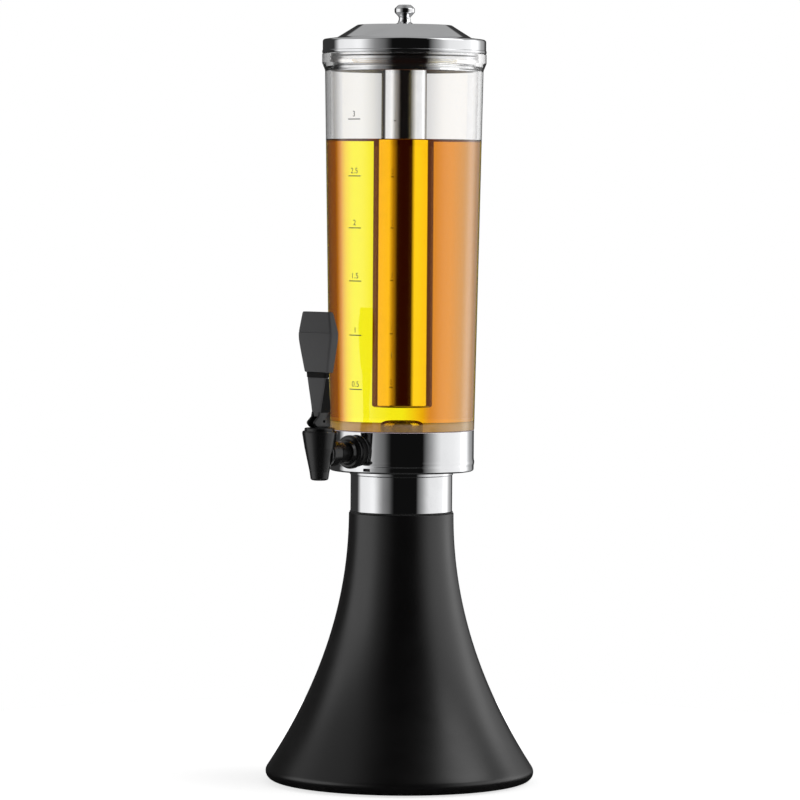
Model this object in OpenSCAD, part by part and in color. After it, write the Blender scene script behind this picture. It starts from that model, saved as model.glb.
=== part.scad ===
// Drink tower: a clear tapered barrel with an ice tube, on a trumpet base, with one lever tap.
// Millimetres. The origin is the middle of the footprint on the table, +Z is up, the tap faces -Y.

/* [Base] */
// Widest diameter of the trumpet base, just above the table
base_d = 226; // [212:1:250]
// Height of the trumpet's top edge above the table
base_h = 226.5; // [200:0.5:250]
// Wall of the moulded trumpet
base_wall = 3; // [2.4:0.1:3.6]
// How late the trumpet opens out on its way down
flare_power = 2.05; // [1.9:0.05:2.3]
// Rounding of the trumpet's lower lip
lip_round = 7; // [6:0.5:8]
// Gap between the lower lip and the table
lip_gap = 1; // [0.6:0.1:1.6]
// Ledge of the trumpet's top edge that shows around the neck
neck_ledge = 1.3; // [0.8:0.1:3]
// Rim between the widest diameter and the base plate
rim_w = 8.7; // [7.5:0.1:11]

/* [Base plate and ballast] */
// Thickness of the steel base plate
plate_t = 2; // [1.5:0.1:3]
// Diameter of the pan that hides the lower nut
pan_d = 60; // [48:1:70]
// Depth of the pan
pan_h = 13; // [12.5:0.1:16]
// Diameter of the cast ballast disc
ballast_d = 140; // [120:1:150]
// Thickness of the ballast disc
ballast_t = 20; // [12:1:22]
// Number of ballast screws
ballast_screw_count = 3; // [3:1:6]
// Diameter of a rubber foot
foot_d = 18; // [14:0.5:20]
// Thickness of a rubber foot
foot_t = 3; // [2.8:0.1:4]
// Diameter of a screw post inside the trumpet
post_d = 9; // [8:0.5:11]
// Number of posts, and of feet between them
post_count = 4; // [4:1:6]
// Length of a base plate screw under its head
plate_screw_len = 17; // [12:1:20]

/* [Neck] */
// Outside diameter of the polished neck tube
neck_d = 85.6; // [80:0.2:92]
// Wall of the neck tube
neck_wall = 1.2; // [0.8:0.1:2]
// Length of the neck tube
neck_h = 30.8; // [25:0.1:50]
// Thickness of the black ring under the neck tube
neck_seal_t = 1.2; // [0.8:0.1:2]
// Thickness of the plate between neck and collar
neck_plate_t = 3.5; // [3:0.1:6]
// Length of the spigots that locate the neck tube
spigot_h = 8; // [5:0.5:10]

/* [Collar] */
// Outside diameter of the polished collar cup
collar_d = 121.4; // [119:0.2:122]
// Wall of the collar cup
collar_wall = 1; // [0.8:0.1:1.4]
// Height of the collar cup
collar_h = 34.5; // [32:0.5:40]
// Rounding of the collar's lower corner
collar_round = 4; // [3:0.5:5]
// How far the pressed bead stands out of the collar
bead_depth = 0.8; // [0.4:0.1:1.2]
// Height of the pressed bead
bead_h = 7; // [5:0.5:8]

/* [Barrel] */
// Outside diameter of the clear barrel at its mouth
barrel_top_d = 133.4; // [130:0.2:140]
// Outside diameter of the clear barrel at the collar
barrel_bottom_d = 121.8; // [121:0.2:124]
// Height of the barrel above the collar
barrel_h = 314.8; // [280:0.1:340]
// Wall of the barrel
barrel_wall = 4; // [3:0.1:5]
// Wall of the barrel's foot, where the tap goes through
foot_wall = 6; // [5:0.1:7]
// How far the thick foot shows above the collar
foot_show = 9; // [7:0.5:12]
// Height over which the wall thickens into the foot
foot_taper = 9; // [4:0.5:11]
// Thickness of the barrel's floor
floor_t = 3.5; // [3:0.1:4]
// Outside diameter of the lip at the mouth
mouth_lip_d = 137.8; // [136:0.2:142]
// Height of the lip
mouth_lip_h = 8; // [5:0.5:10]
// Height of the taper under the lip
mouth_taper_h = 6; // [4:0.5:10]
// Thickness of the gasket under the barrel
gasket_t = 1; // [0.8:0.1:1.5]

/* [Tie rod] */
// Diameter of the rod that holds the tower together
rod_d = 10; // [8:0.5:10]
// Width across the flats of the rod's nuts
nut_af = 17; // [16:0.5:18]
// Height of the lower nut
nut_h = 8; // [6:0.5:8]
// Thickness of the washers on the rod
rod_washer_t = 2; // [1.5:0.1:2]

/* [Ice tube] */
// Outside diameter of the ice tube
ice_d = 37.8; // [32:0.2:44]
// Wall of the ice tube and its dish
ice_wall = 0.8; // [0.6:0.1:1.2]
// Clearance between the ice tube and the cap nut below it
ice_gap = 11.5; // [3:0.5:20]
// Depth of the dish that hangs in the barrel's mouth
dish_depth = 15; // [12:0.5:20]
// Thickness of the dish's floor weld lip above the floor
weld_lip = 1.7; // [1:0.1:3]

/* [Lid] */
// Outside diameter of the lid's band
lid_d = 137; // [136:0.2:142]
// Height of the lid's band
lid_band_h = 11.5; // [9:0.5:14]
// Thickness of the lid's sheet
lid_wall = 0.8; // [0.6:0.1:1.2]
// Diameter of the flat top of the lid
lid_top_d = 79; // [60:1:95]
// Diameter at the foot of the lid's cone
lid_cone_d = 113; // [105:1:125]
// Rise of the shoulder between band and cone
lid_shoulder = 1.5; // [1:0.1:4]
// Rise of the lid's cone
lid_cone_h = 10.6; // [6:0.1:14]
// Diameter of the knob's head
knob_d = 17.2; // [14:0.2:24]
// Height of the knob
knob_h = 17.3; // [15:0.1:24]

/* [Tap] */
// Distance from the tower's axis to the tap's axis
tap_reach = 103; // [98:0.5:115]
// Height of the shank's axis above the collar's underside
tap_h = 18; // [17:0.1:20]
// Outside diameter of the threaded shank
shank_d = 16; // [14:0.5:17]
// Bore of the shank
shank_bore = 9; // [7:0.5:10]
// Diameter of the tap body's top rim
body_top_d = 29.2; // [28:0.2:32]
// Outside diameter of the spout's mouth
spout_d = 12.4; // [12:0.2:14]
// Bore of the spout
spout_bore = 8; // [6:0.5:8]
// Height of the body's top above the shank's axis
body_up = 19; // [18:0.5:22]
// Depth of the spout's mouth below the shank's axis
body_down = 22; // [21:0.5:32]
// Diameter of the hub behind the body
hub_d = 22; // [20:0.5:24]
// Length of the hub from the tap's axis
hub_len = 17; // [16:0.5:20]
// Diameter of the round flange nut outside the collar
flange_d = 28; // [26:0.5:30]
// Thickness of the flange nut
flange_t = 5; // [4:0.5:7]
// Width across the flats of the lock nut inside the barrel
lock_nut_af = 20; // [19:0.5:20.5]
// Thickness of the lock nut
lock_nut_t = 5; // [4:0.5:7]

/* [Valve] */
// Diameter of the chamber in the tap body
chamber_d = 13; // [12:0.5:14]
// Diameter of the valve stem
stem_d = 5; // [4:0.5:5.5]
// How far the valve lifts when the lever is right over
valve_lift = 5; // [4:0.5:5]
// Number of turns in the valve spring
spring_turns = 4; // [3:1:4]
// Wire of the valve spring
spring_wire = 0.8; // [0.6:0.1:0.8]

/* [Lever] */
// How far the lever tilts, in degrees
lever_tilt = 60; // [45:5:75]
// Distance from the lever pin to the bonnet, upright
cam_base = 5.4; // [4.8:0.1:7]
// Diameter of the lever pin
pin_d = 3; // [2.5:0.5:3]
// Thickness of each tine of the lever's fork
tine_t = 2; // [1.6:0.2:3]
// Width of the lever's arm where it enters the grip
arm_w = 20.5; // [16:0.5:21]
// Depth of the lever's arm at its lower end
arm_foot = 13; // [8:0.5:14]
// Height of the grip's lower edge above the lever pin
grip_z = 36; // [32:1:45]
// Height of the grip
grip_h = 54; // [45:0.5:60]
// Width of the grip
grip_w = 36.5; // [28:0.5:40]
// Depth of the grip
grip_depth = 10.5; // [9.5:0.5:14]
// Height of the grip's narrow neck over the arm
grip_neck_h = 4.3; // [3:0.1:6]

/* [Hidden] */
$fn = 72;

slack = 0.1;       // gap around a piece that drops into another
pin_slack = 0.05;  // radial gap of a pin or stem that runs in a bore
past = 1;          // how far a cutting tool runs past the face it cuts

plastic_black = [0.07, 0.07, 0.08];
chrome = [0.82, 0.83, 0.85];
steel = [0.6, 0.61, 0.63];
rubber = [0.12, 0.12, 0.12];
silicone = [0.9, 0.9, 0.88];
clear = [0.85, 0.92, 0.95, 0.35];

// Points of an arc, from angle a to angle b
function arc(centre, r, a, b, steps = 8) =
    [for (i = [0:steps]) centre + r * [cos(a + (b - a) * i / steps), sin(a + (b - a) * i / steps)]];

// The side normal of the line from p to q, on its left
function left_of(p, q) = let (d = q - p) [-d[1], d[0]] / norm(d);

// The point that runs beside point i of a line, t to its left
function beside(line, i, t) =
    i == 0 ? line[0] + t * left_of(line[0], line[1]) :
    i == len(line) - 1 ? line[i] + t * left_of(line[i - 1], line[i]) :
    let (n = left_of(line[i - 1], line[i]), m = left_of(line[i], line[i + 1]))
    line[i] + t * (n + m) / (1 + n * m);

// The outline of a sheet of thickness t on the left of a line
function sheet(line, t) =
    concat(line, [for (i = [len(line) - 1:-1:0]) beside(line, i, t)]);

module turned(points) { rotate_extrude() polygon(points); }

module washer(d, bore, t) {
    difference() {
        cylinder(d = d, h = t);
        translate([0, 0, -past]) cylinder(d = bore, h = t + 2 * past);
    }
}

module hex(af, h) { cylinder(d = af / cos(30), h = h, $fn = 6); }

module around(count, r, first = 0) {
    for (i = [0:count - 1]) rotate(first + 360 * i / count) translate([r, 0, 0]) children();
}

// A pan-head screw whose head lies under z = 0 and whose shank points up
module screw(d, len, head_d, head_h) {
    turned([[0, -head_h], [head_d / 2 - head_h / 2, -head_h], [head_d / 2, -head_h / 2],
            [head_d / 2, 0], [d / 2, 0], [d / 2, len - d / 3], [d / 5, len], [0, len]]);
}

// ---- Base ----
plate_z = foot_t;
plate_r = base_d / 2 - rim_w - slack;
plate_edge_r = base_d / 2 - rim_w;
plate_ledge = 3.3;      // ledge of the rim that the plate rests against
ledge_t = 3;
neck_top_r = neck_d / 2 + neck_ledge;
flare_steps = 26;
lip_angle = atan(flare_power * (base_d / 2 - neck_top_r) / (base_h - lip_round));
lip_centre = [base_d / 2 - lip_round, lip_gap + lip_round];
flare_end = lip_centre + lip_round * [cos(lip_angle), sin(lip_angle)];
neck_bore_r = neck_d / 2 - neck_wall;
spigot_r = neck_bore_r - slack;
spigot_wall = 3;
screw_d = 4;
screw_head_d = 8;
screw_head_h = 2.2;
post_circle_r = plate_r - plate_ledge - post_d / 2 - 4.5;
ballast_bore = pan_d + 2 * plate_t + 4;
ballast_screw_d = 5;
ballast_screw_r = (ballast_d + ballast_bore) / 4;

function flare_share(z) = (base_h - z) / (base_h - flare_end[1]);
function flare_r(z) = neck_top_r + (flare_end[0] - neck_top_r) * pow(flare_share(z), flare_power);
function flare_z(i) = base_h - i * (base_h - flare_end[1]) / flare_steps;
flare_line = [for (i = [0:flare_steps]) [flare_r(flare_z(i)), flare_z(i)]];
inner_line = [for (i = [1:flare_steps - 1]) beside(flare_line, i, -base_wall)];
top_step = 5;           // height of the thick ring under the trumpet's top edge

module trumpet_outline() {
    polygon(concat(
        flare_line,
        arc(lip_centre, lip_round, lip_angle, -90),
        [[plate_edge_r, lip_gap], [plate_edge_r, plate_z + plate_t],
         [plate_edge_r - plate_ledge, plate_z + plate_t],
         [plate_edge_r - plate_ledge, plate_z + plate_t + ledge_t]],
        [for (i = [len(inner_line) - 1:-1:0]) if (inner_line[i][1] < base_h - top_step) inner_line[i]],
        [[spigot_r - spigot_wall, base_h - top_step], [spigot_r - spigot_wall, base_h + spigot_h],
         [spigot_r, base_h + spigot_h], [spigot_r, base_h]]));
}

// Everything inside the middle of the trumpet's wall
module trumpet_core() {
    rotate_extrude() polygon(concat(
        [for (i = [0:flare_steps]) beside(flare_line, i, -base_wall / 2)], [[0, plate_z], [0, base_h]]));
}

module trumpet_base() color(plastic_black) {
    rotate_extrude() trumpet_outline();
    difference() {
        intersection() {
            around(post_count, post_circle_r, 45) translate([0, 0, plate_z + plate_t])
                cylinder(d = post_d, h = base_h / 2);
            trumpet_core();
        }
        around(post_count, post_circle_r, 45)
            cylinder(d = screw_d + 2 * pin_slack, h = plate_z + plate_t + plate_screw_len);
    }
}

module base_plate() color(steel) difference() {
    turned([[rod_d / 2 + slack, plate_z + pan_h], [pan_d / 2, plate_z + pan_h], [pan_d / 2, plate_z],
            [plate_r, plate_z], [plate_r, plate_z + plate_t], [pan_d / 2 + plate_t, plate_z + plate_t],
            [pan_d / 2 + plate_t, plate_z + pan_h + plate_t], [rod_d / 2 + slack, plate_z + pan_h + plate_t]]);
    around(post_count, post_circle_r, 45) cylinder(d = screw_d + 4 * slack, h = base_h / 2);
    around(ballast_screw_count, ballast_screw_r) cylinder(d = ballast_screw_d + 4 * slack, h = base_h / 2);
}

module base_plate_screws() color(steel)
    around(post_count, post_circle_r, 45) translate([0, 0, plate_z])
        screw(screw_d, plate_screw_len, screw_head_d, screw_head_h);

module rubber_feet() color(rubber)
    around(post_count, plate_r - foot_d / 2 - 2, 45 + 180 / post_count)
        turned([[0, 0], [foot_d / 2 - 1, 0], [foot_d / 2, foot_t], [0, foot_t]]);

module ballast_disc() color([0.25, 0.25, 0.26])
    translate([0, 0, plate_z + plate_t]) difference() {
        cylinder(d = ballast_d, h = ballast_t);
        translate([0, 0, -past]) cylinder(d = ballast_bore, h = ballast_t + 2 * past);
        around(ballast_screw_count, ballast_screw_r) translate([0, 0, -past])
            cylinder(d = ballast_screw_d + 2 * pin_slack, h = ballast_t - 2 + past);
    }

module ballast_screws() color(steel)
    around(ballast_screw_count, ballast_screw_r) translate([0, 0, plate_z])
        screw(ballast_screw_d, ballast_t - 4, screw_head_d + 1, screw_head_h);

// ---- Neck ----
neck_z = base_h + neck_seal_t;
neck_top_z = neck_z + neck_h;
collar_z = neck_top_z + neck_plate_t;

module neck_seal_ring() color(rubber)
    translate([0, 0, base_h]) washer(neck_d + neck_ledge, 2 * (spigot_r + slack), neck_seal_t);

module neck_tube() color(chrome)
    translate([0, 0, neck_z]) washer(neck_d, 2 * neck_bore_r, neck_h);

module neck_plate() color(chrome)
    turned([[rod_d / 2 + slack, collar_z], [neck_top_r - 0.7, collar_z], [neck_top_r - 0.7, neck_top_z],
            [spigot_r, neck_top_z], [spigot_r, neck_top_z - spigot_h],
            [spigot_r - spigot_wall, neck_top_z - spigot_h], [spigot_r - spigot_wall, neck_top_z],
            [rod_d / 2 + slack, neck_top_z]]);

// ---- Collar ----
collar_r = collar_d / 2;
collar_top_z = collar_z + collar_h;
bead_r = (pow(bead_h / 2, 2) + pow(bead_depth, 2)) / (2 * bead_depth);
bead_angle = asin(bead_h / 2 / bead_r);
bead_z = collar_z + collar_round + bead_h / 2;
shank_z = collar_z + tap_h;
shank_hole_d = shank_d + 0.6;

// Turns a shape drawn along +Z so that it points out of the tower at the height of the shank
module along_shank(u) { translate([0, -u, shank_z]) rotate([90, 0, 0]) children(); }

module shank_hole() { along_shank(tap_reach / 3) cylinder(d = shank_hole_d, h = tap_reach / 2); }

module collar_cup() color(chrome) difference() {
    turned(concat(
        [[rod_d / 2 + slack, collar_z]],
        arc([collar_r - collar_round, collar_z + collar_round], collar_round, -90, 0),
        arc([collar_r + bead_depth - bead_r, bead_z], bead_r, -bead_angle, bead_angle),
        [[collar_r, collar_top_z], [collar_r - collar_wall, collar_top_z]],
        arc([collar_r - collar_round, collar_z + collar_round], collar_round - collar_wall, 0, -90),
        [[rod_d / 2 + slack, collar_z + collar_wall]]));
    shank_hole();
}

// ---- Barrel ----
gasket_z = collar_z + collar_wall;
barrel_z = gasket_z + gasket_t;
floor_z = barrel_z + floor_t;
shoulder_z = collar_top_z + 2 * slack;
mouth_z = shoulder_z + barrel_h;
plug_r = collar_r - collar_wall - 2 * slack;   // the part of the barrel inside the collar
foot_r = plug_r - foot_wall;
foot_top_z = shoulder_z + foot_show;
boss_d = 32;            // the floor's raised middle, at its foot
boss_top_d = 28;
boss_wall = 4;
edge = 1;               // rounding of the barrel's edges

function barrel_r(z) =
    barrel_bottom_d / 2 + (barrel_top_d - barrel_bottom_d) / 2 * (z - shoulder_z) / barrel_h;
boss_z = floor_z + 24.5;

module barrel() color(clear) difference() {
    turned(concat(
        [[boss_d / 2 - boss_wall, barrel_z], [plug_r - 3 * edge, barrel_z], [plug_r, barrel_z + 3 * edge],
         [plug_r, shoulder_z], [barrel_bottom_d / 2, shoulder_z],
         [barrel_r(mouth_z - mouth_lip_h - mouth_taper_h), mouth_z - mouth_lip_h - mouth_taper_h]],
        [[mouth_lip_d / 2, mouth_z - mouth_lip_h]],
        arc([mouth_lip_d / 2 - edge, mouth_z - edge], edge, 0, 90, 4),
        [[barrel_top_d / 2 - barrel_wall, mouth_z],
         [barrel_r(foot_top_z) - barrel_wall, foot_top_z], [foot_r, foot_top_z - foot_taper],
         [foot_r, floor_z + 2 * edge], [foot_r - 2 * edge, floor_z],
         [boss_d / 2, floor_z], [boss_top_d / 2, boss_z], [rod_d / 2 + 2 * slack, boss_z],
         [rod_d / 2 + 2 * slack, boss_z - boss_wall], [boss_top_d / 2 - boss_wall, boss_z - boss_wall]]));
    shank_hole();
}

module barrel_gasket() color(silicone)
    translate([0, 0, gasket_z]) washer(2 * (foot_r + 1), boss_d + 16, gasket_t);

// ---- Tie rod ----
washer_z = plate_z + pan_h - rod_washer_t;
cap_z = boss_z + rod_washer_t;
cap_d = boss_top_d - 1; // low round cap nut with two flats for a spanner
cap_side_h = 5;
cap_h = 10.5;
cap_bore_h = 8;
cap_flats = cap_d - 3;

module tie_rod() color(steel)
    translate([0, 0, washer_z - nut_h - 2]) cylinder(d = rod_d, h = cap_z + cap_bore_h - 1 - washer_z + nut_h + 2);

module tie_rod_washer() color(steel)
    translate([0, 0, washer_z]) washer(3 * rod_d, rod_d + 2 * slack, rod_washer_t);

module tie_rod_nut() color(steel)
    translate([0, 0, washer_z - nut_h]) difference() {
        hex(nut_af, nut_h);
        translate([0, 0, -past]) cylinder(d = rod_d + 2 * pin_slack, h = nut_h + 2 * past);
    }

module floor_washer() color(silicone)
    translate([0, 0, boss_z]) washer(boss_top_d - 4, rod_d + 2 * slack, rod_washer_t);

module floor_cap_nut() color(steel)
    translate([0, 0, cap_z]) difference() {
        intersection() {
            turned(concat([[0, 0], [cap_d / 2 - 0.5, 0], [cap_d / 2, 0.5], [cap_d / 2, cap_side_h]],
                [for (a = [10:10:90]) [cap_d / 4 * (1 + cos(a)), cap_side_h + (cap_h - cap_side_h) * sin(a)]],
                [[0, cap_h]]));
            rotate([0, 0, 45]) translate([-cap_d, -cap_flats / 2, -past]) cube([2 * cap_d, cap_flats, cap_h + 2 * past]);
        }
        translate([0, 0, -past]) cylinder(d = rod_d + 2 * pin_slack, h = cap_bore_h + past);
    }

// ---- Tap ----
body_top_z = shank_z + body_up;
spout_z = shank_z - body_down;
rim_h = 3;              // straight part of the body's top rim
shank_inner = foot_r - lock_nut_t - 5.4;        // distance of the shank's inner end from the tower's axis
washer_t = 2.5;         // middle of the outer washer
inner_washer_t = 3;
seat_z = shank_z - 10;  // lower edge of the valve seat
seat_h = 3.5;
plug_d = 18;            // the bonnet's screwed plug
plug_h = 4;
bonnet_t = 2.5;
bonnet_d = body_top_d - 4;
seal_t = 0.8;
seal_d = 24;
chamber_top_z = body_top_z - plug_h - 1;

module at_tap() { translate([0, -tap_reach, 0]) children(); }

module tap_outside() {
    at_tap() turned([[0, spout_z], [spout_d / 2 - 1, spout_z], [spout_d / 2, spout_z + 1],
                     [spout_d / 2 + 1.6, spout_z + 5], [body_top_d / 2 - 2, body_top_z - 14],
                     [body_top_d / 2 - 0.2, body_top_z - rim_h], [body_top_d / 2, body_top_z - rim_h / 2],
                     [body_top_d / 2 - 0.6, body_top_z], [0, body_top_z]]);
    along_shank(tap_reach - hub_len) cylinder(d = hub_d, h = hub_len);
    along_shank(shank_inner) cylinder(d = shank_d, h = tap_reach - shank_inner);
}

module tap_body() color(plastic_black) difference() {
    tap_outside();
    at_tap() turned([[0, spout_z - past], [spout_bore / 2, spout_z - past], [spout_bore / 2, seat_z],
                     [chamber_d / 2, seat_z + seat_h], [chamber_d / 2, chamber_top_z],
                     [plug_d / 2 + pin_slack, chamber_top_z], [plug_d / 2 + pin_slack, body_top_z - seal_t],
                     [seal_d / 2 + slack, body_top_z - seal_t], [seal_d / 2 + slack, body_top_z + past],
                     [0, body_top_z + past]]);
    along_shank(shank_inner - past) cylinder(d = shank_bore, h = tap_reach - shank_inner + past);
}

module tap_outer_washer() color(rubber) difference() {
    along_shank(collar_r - 3) cylinder(d = flange_d - 2, h = 3 + washer_t);
    along_shank(collar_r - 4) cylinder(d = shank_d + 2 * slack, h = 6 + washer_t);
    cylinder(r = collar_r + slack, h = 2 * shank_z, $fn = 720);
    rotate_extrude($fn = 720) polygon(arc([collar_r + bead_depth - bead_r, bead_z], bead_r + slack,
                                          -bead_angle, bead_angle));
}

module tap_flange_nut() color(plastic_black) {
    along_shank(collar_r + washer_t) turned(concat(
        [[shank_d / 2 + slack, 0], [flange_d / 2 - 1, 0]],
        arc([flange_d / 2 - 1.5, flange_t - 1.5], 1.5, 0, 80, 6),
        [[hub_d / 2 - 0.5, flange_t + 0.4], [hub_d / 2 - 1, flange_t + 3.4],
         [shank_d / 2 + slack, flange_t + 3.8]]));
}

// The inner washer stays above the rounding of the barrel's floor
inner_washer_d = min(lock_nut_af + 3, 2 * (shank_z - floor_z - 2 * edge - 2 * slack));

module tap_inner_washer() color(silicone) difference() {
    intersection() {
        along_shank(foot_r - inner_washer_t) cylinder(d = inner_washer_d, h = inner_washer_t + 1);
        cylinder(r = foot_r - slack, h = 2 * shank_z, $fn = 720);
    }
    along_shank(foot_r - 2 * inner_washer_t) cylinder(d = shank_d + 2 * slack, h = 4 * inner_washer_t);
}

module tap_lock_nut() color(plastic_black)
    along_shank(foot_r - inner_washer_t - lock_nut_t) difference() {
        hex(lock_nut_af, lock_nut_t);
        translate([0, 0, -past]) cylinder(d = shank_d + 2 * pin_slack, h = lock_nut_t + 2 * past);
    }

// ---- Valve ----
bonnet_top_z = body_top_z + bonnet_t;
spring_seat_z = body_top_z - plug_h / 2;        // the pocket in the bonnet that holds the spring
spring_r = (stem_d / 2 + chamber_d / 2) / 2 - 0.2;
spring_z = spring_seat_z - 9;                   // the stem's collar, that the spring pushes on
pocket_d = 2 * spring_r + spring_wire + 2 * slack;
stem_z = seat_z + 2.1;
pin_z = bonnet_top_z + cam_base + slack;
tongue_w = 7;

module tap_bonnet() color(plastic_black) at_tap()
    turned([[stem_d / 2 + pin_slack, bonnet_top_z], [bonnet_d / 2 - 1, bonnet_top_z],
            [bonnet_d / 2, bonnet_top_z - 1], [bonnet_d / 2, body_top_z],
            [plug_d / 2, body_top_z], [plug_d / 2, body_top_z - plug_h],
            [pocket_d / 2, body_top_z - plug_h], [pocket_d / 2, spring_seat_z],
            [stem_d / 2 + pin_slack, spring_seat_z]]);

module bonnet_seal() color(silicone) at_tap()
    translate([0, 0, body_top_z - seal_t]) washer(seal_d, plug_d + 2 * slack, seal_t);

module valve_stem() color(steel) at_tap() difference() {
    union() {
        translate([0, 0, stem_z]) cylinder(d = stem_d, h = bonnet_top_z + 0.4 - stem_z);
        translate([0, 0, spring_z - 2]) cylinder(d = 2 * spring_r + spring_wire, h = 2);
        intersection() {
            translate([-stem_d / 2, -tongue_w / 2, bonnet_top_z + 0.4])
                cube([stem_d, tongue_w, pin_z - bonnet_top_z + tongue_w / 2 - 0.4]);
            union() {
                translate([-stem_d, 0, pin_z]) rotate([0, 90, 0]) cylinder(d = tongue_w, h = 2 * stem_d);
                translate([-stem_d, -tongue_w / 2, bonnet_top_z])
                    cube([2 * stem_d, tongue_w, pin_z - bonnet_top_z]);
            }
        }
    }
    translate([-stem_d, 0, pin_z]) rotate([0, 90, 0]) cylinder(d = pin_d + 2 * pin_slack, h = 2 * stem_d);
}

seal_gap = 0.25;        // how far the soft seal is drawn clear of its seat
module valve_seal() color(silicone) at_tap() difference() {
    turned([[0, seat_z - 1], [spout_bore / 2 - 2 * seal_gap, seat_z - 1],
            [spout_bore / 2 - seal_gap, seat_z], [chamber_d / 2 - seal_gap, seat_z + seat_h],
            [chamber_d / 2 - seal_gap, seat_z + seat_h + 2.5], [0, seat_z + seat_h + 3]]);
    translate([0, 0, stem_z]) cylinder(d = stem_d + 2 * pin_slack, h = seat_h + 4);
}

// A helix of round wire: rings of points, swept upwards
spring_sides = 8;
spring_steps = 14;
spring_rise = spring_seat_z - spring_z - spring_wire - 2 * slack;
function spring_point(i, j) =
    let (a = 360 * i / spring_steps, b = 360 * j / spring_sides,
         r = spring_r + spring_wire / 2 * cos(b))
    [r * cos(a), r * sin(a), spring_z + slack + spring_wire / 2 + spring_wire / 2 * sin(b)
        + spring_rise * i / (spring_steps * spring_turns)];

module valve_spring() color(steel) at_tap() {
    rings = spring_steps * spring_turns;
    polyhedron(
        points = [for (i = [0:rings]) for (j = [0:spring_sides - 1]) spring_point(i, j)],
        faces = concat(
            [[for (j = [0:spring_sides - 1]) j]],
            [for (i = [0:rings - 1]) for (j = [0:spring_sides - 1])
                let (k = (j + 1) % spring_sides, at = i * spring_sides)
                [at + j, at + spring_sides + j, at + spring_sides + k, at + k]],
            [[for (j = [spring_sides - 1:-1:0]) rings * spring_sides + j]]));
}

// ---- Lever ----
cam_rate = valve_lift / (lever_tilt * PI / 180);        // lift for each radian of tilt
fork_w = stem_d + 4 * slack + 2 * tine_t;
arm_y = -2.5;           // the arm's middle, in front of the pin
arm_low_z = 7;          // where the fork becomes the arm, above the pin
arm_depth = 5;          // at the grip
arm_front = arm_y - arm_depth / 2;
tang_w = 12;
tang_t = 4;
tang_h = 30;
grip_screw_d = 3;

// The cam is an involute, so that the flat bonnet lifts it evenly as the lever tilts
function cam_point(a) =
    let (h = cam_base + cam_rate * a * PI / 180)
    h * [-sin(a), -cos(a)] + cam_rate * [-cos(a), sin(a)];

module cam_outline() {
    polygon(concat(
        [[2, -cam_base]],
        [for (a = [0:lever_tilt / 12:lever_tilt]) cam_point(a)],
        [cam_point(lever_tilt) + [0.6, 1.2], [arm_front - 1, arm_low_z - 3], [arm_front, arm_low_z + 1],
         [arm_front + arm_foot, arm_low_z + 1], [arm_front + arm_foot, 1 - cam_base],
         [arm_front + arm_foot - 1, slack - cam_base]]));
}

module sideways(w) { translate([-w / 2, 0, 0]) rotate([90, 0, 90]) linear_extrude(w) children(); }

module at_pin() { translate([0, -tap_reach, pin_z]) children(); }

module lever_arm() color(plastic_black) at_pin() difference() {
    union() {
        sideways(fork_w) cam_outline();
        intersection() {
            rotate([90, 0, 0]) translate([0, 0, -arm_front - arm_foot]) linear_extrude(arm_foot) polygon([
                [-fork_w / 2, arm_low_z], [fork_w / 2, arm_low_z], [fork_w / 2 + 1, arm_low_z + 6],
                [arm_w / 2, grip_z - slack], [-arm_w / 2, grip_z - slack], [-fork_w / 2 - 1, arm_low_z + 6]]);
            sideways(2 * arm_w) polygon([
                [arm_front, arm_low_z], [arm_front + arm_foot, arm_low_z],
                [arm_front + arm_foot, arm_low_z + 4], [arm_front + arm_depth, grip_z - slack],
                [arm_front, grip_z - slack]]);
        }
        translate([-tang_w / 2, arm_y - tang_t / 2, grip_z - past]) cube([tang_w, tang_t, tang_h + past]);
    }
    translate([-stem_d / 2 - 2 * slack, -grip_w, -grip_w])
        cube([stem_d + 4 * slack, 2 * grip_w, grip_w + tongue_w / 2 + 0.5]);
    sideways(2 * fork_w) circle(d = pin_d + 2 * pin_slack);
    translate([0, arm_y, grip_z + tang_h / 2]) rotate([90, 0, 0])
        cylinder(d = grip_screw_d + 2 * slack, h = 2 * tang_t, center = true);
}

module lever_pin() color(steel) at_pin() sideways(fork_w) circle(d = pin_d);

// Height, width, depth and forward shift of the grip's back face, from its neck up
grip_low_w = 0.71 * grip_w;
grip_top_w = 0.83 * grip_w;
grip_sections = [
    [grip_neck_h, grip_low_w, 0.81 * grip_depth, 0], [0.59 * grip_h, grip_w, grip_depth, 0],
    [0.69 * grip_h, grip_w, grip_depth, 0], [grip_h, grip_top_w, 0.58 * grip_depth, 0.3 * grip_depth]];
grip_edge = 1.5;

module grip_slab(s) {
    translate([0, arm_y + grip_depth / 2 - s[2] / 2 - s[3], s[0]]) linear_extrude(0.01)
        for (x = [-1, 1], y = [-1, 1])
            translate([x * (s[1] / 2 - grip_edge), y * (s[2] / 2 - grip_edge)]) circle(r = grip_edge, $fn = 16);
}

module grip_outside() {
    for (i = [0:len(grip_sections) - 2]) hull() {
        grip_slab(grip_sections[i]);
        grip_slab(grip_sections[i + 1]);
    }
    translate([-0.42 * grip_low_w, arm_y - 0.8 * tang_t, 0])
        cube([0.84 * grip_low_w, 1.6 * tang_t, grip_neck_h + past]);
}

module lever_grip() color([0.16, 0.16, 0.17]) at_pin() difference() {
    translate([0, 0, grip_z]) grip_outside();
    translate([-tang_w / 2 - slack, arm_y - tang_t / 2 - slack, grip_z - past])
        cube([tang_w + 2 * slack, tang_t + 2 * slack, tang_h + slack + past]);
    translate([0, arm_y, grip_z + tang_h / 2]) rotate([-90, 0, 0]) {
        cylinder(d = grip_screw_d + 2 * slack, h = grip_depth);
        translate([0, 0, grip_depth / 2 - 2]) cylinder(d = 2 * grip_screw_d + 2 * slack, h = grip_depth);
    }
}

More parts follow.
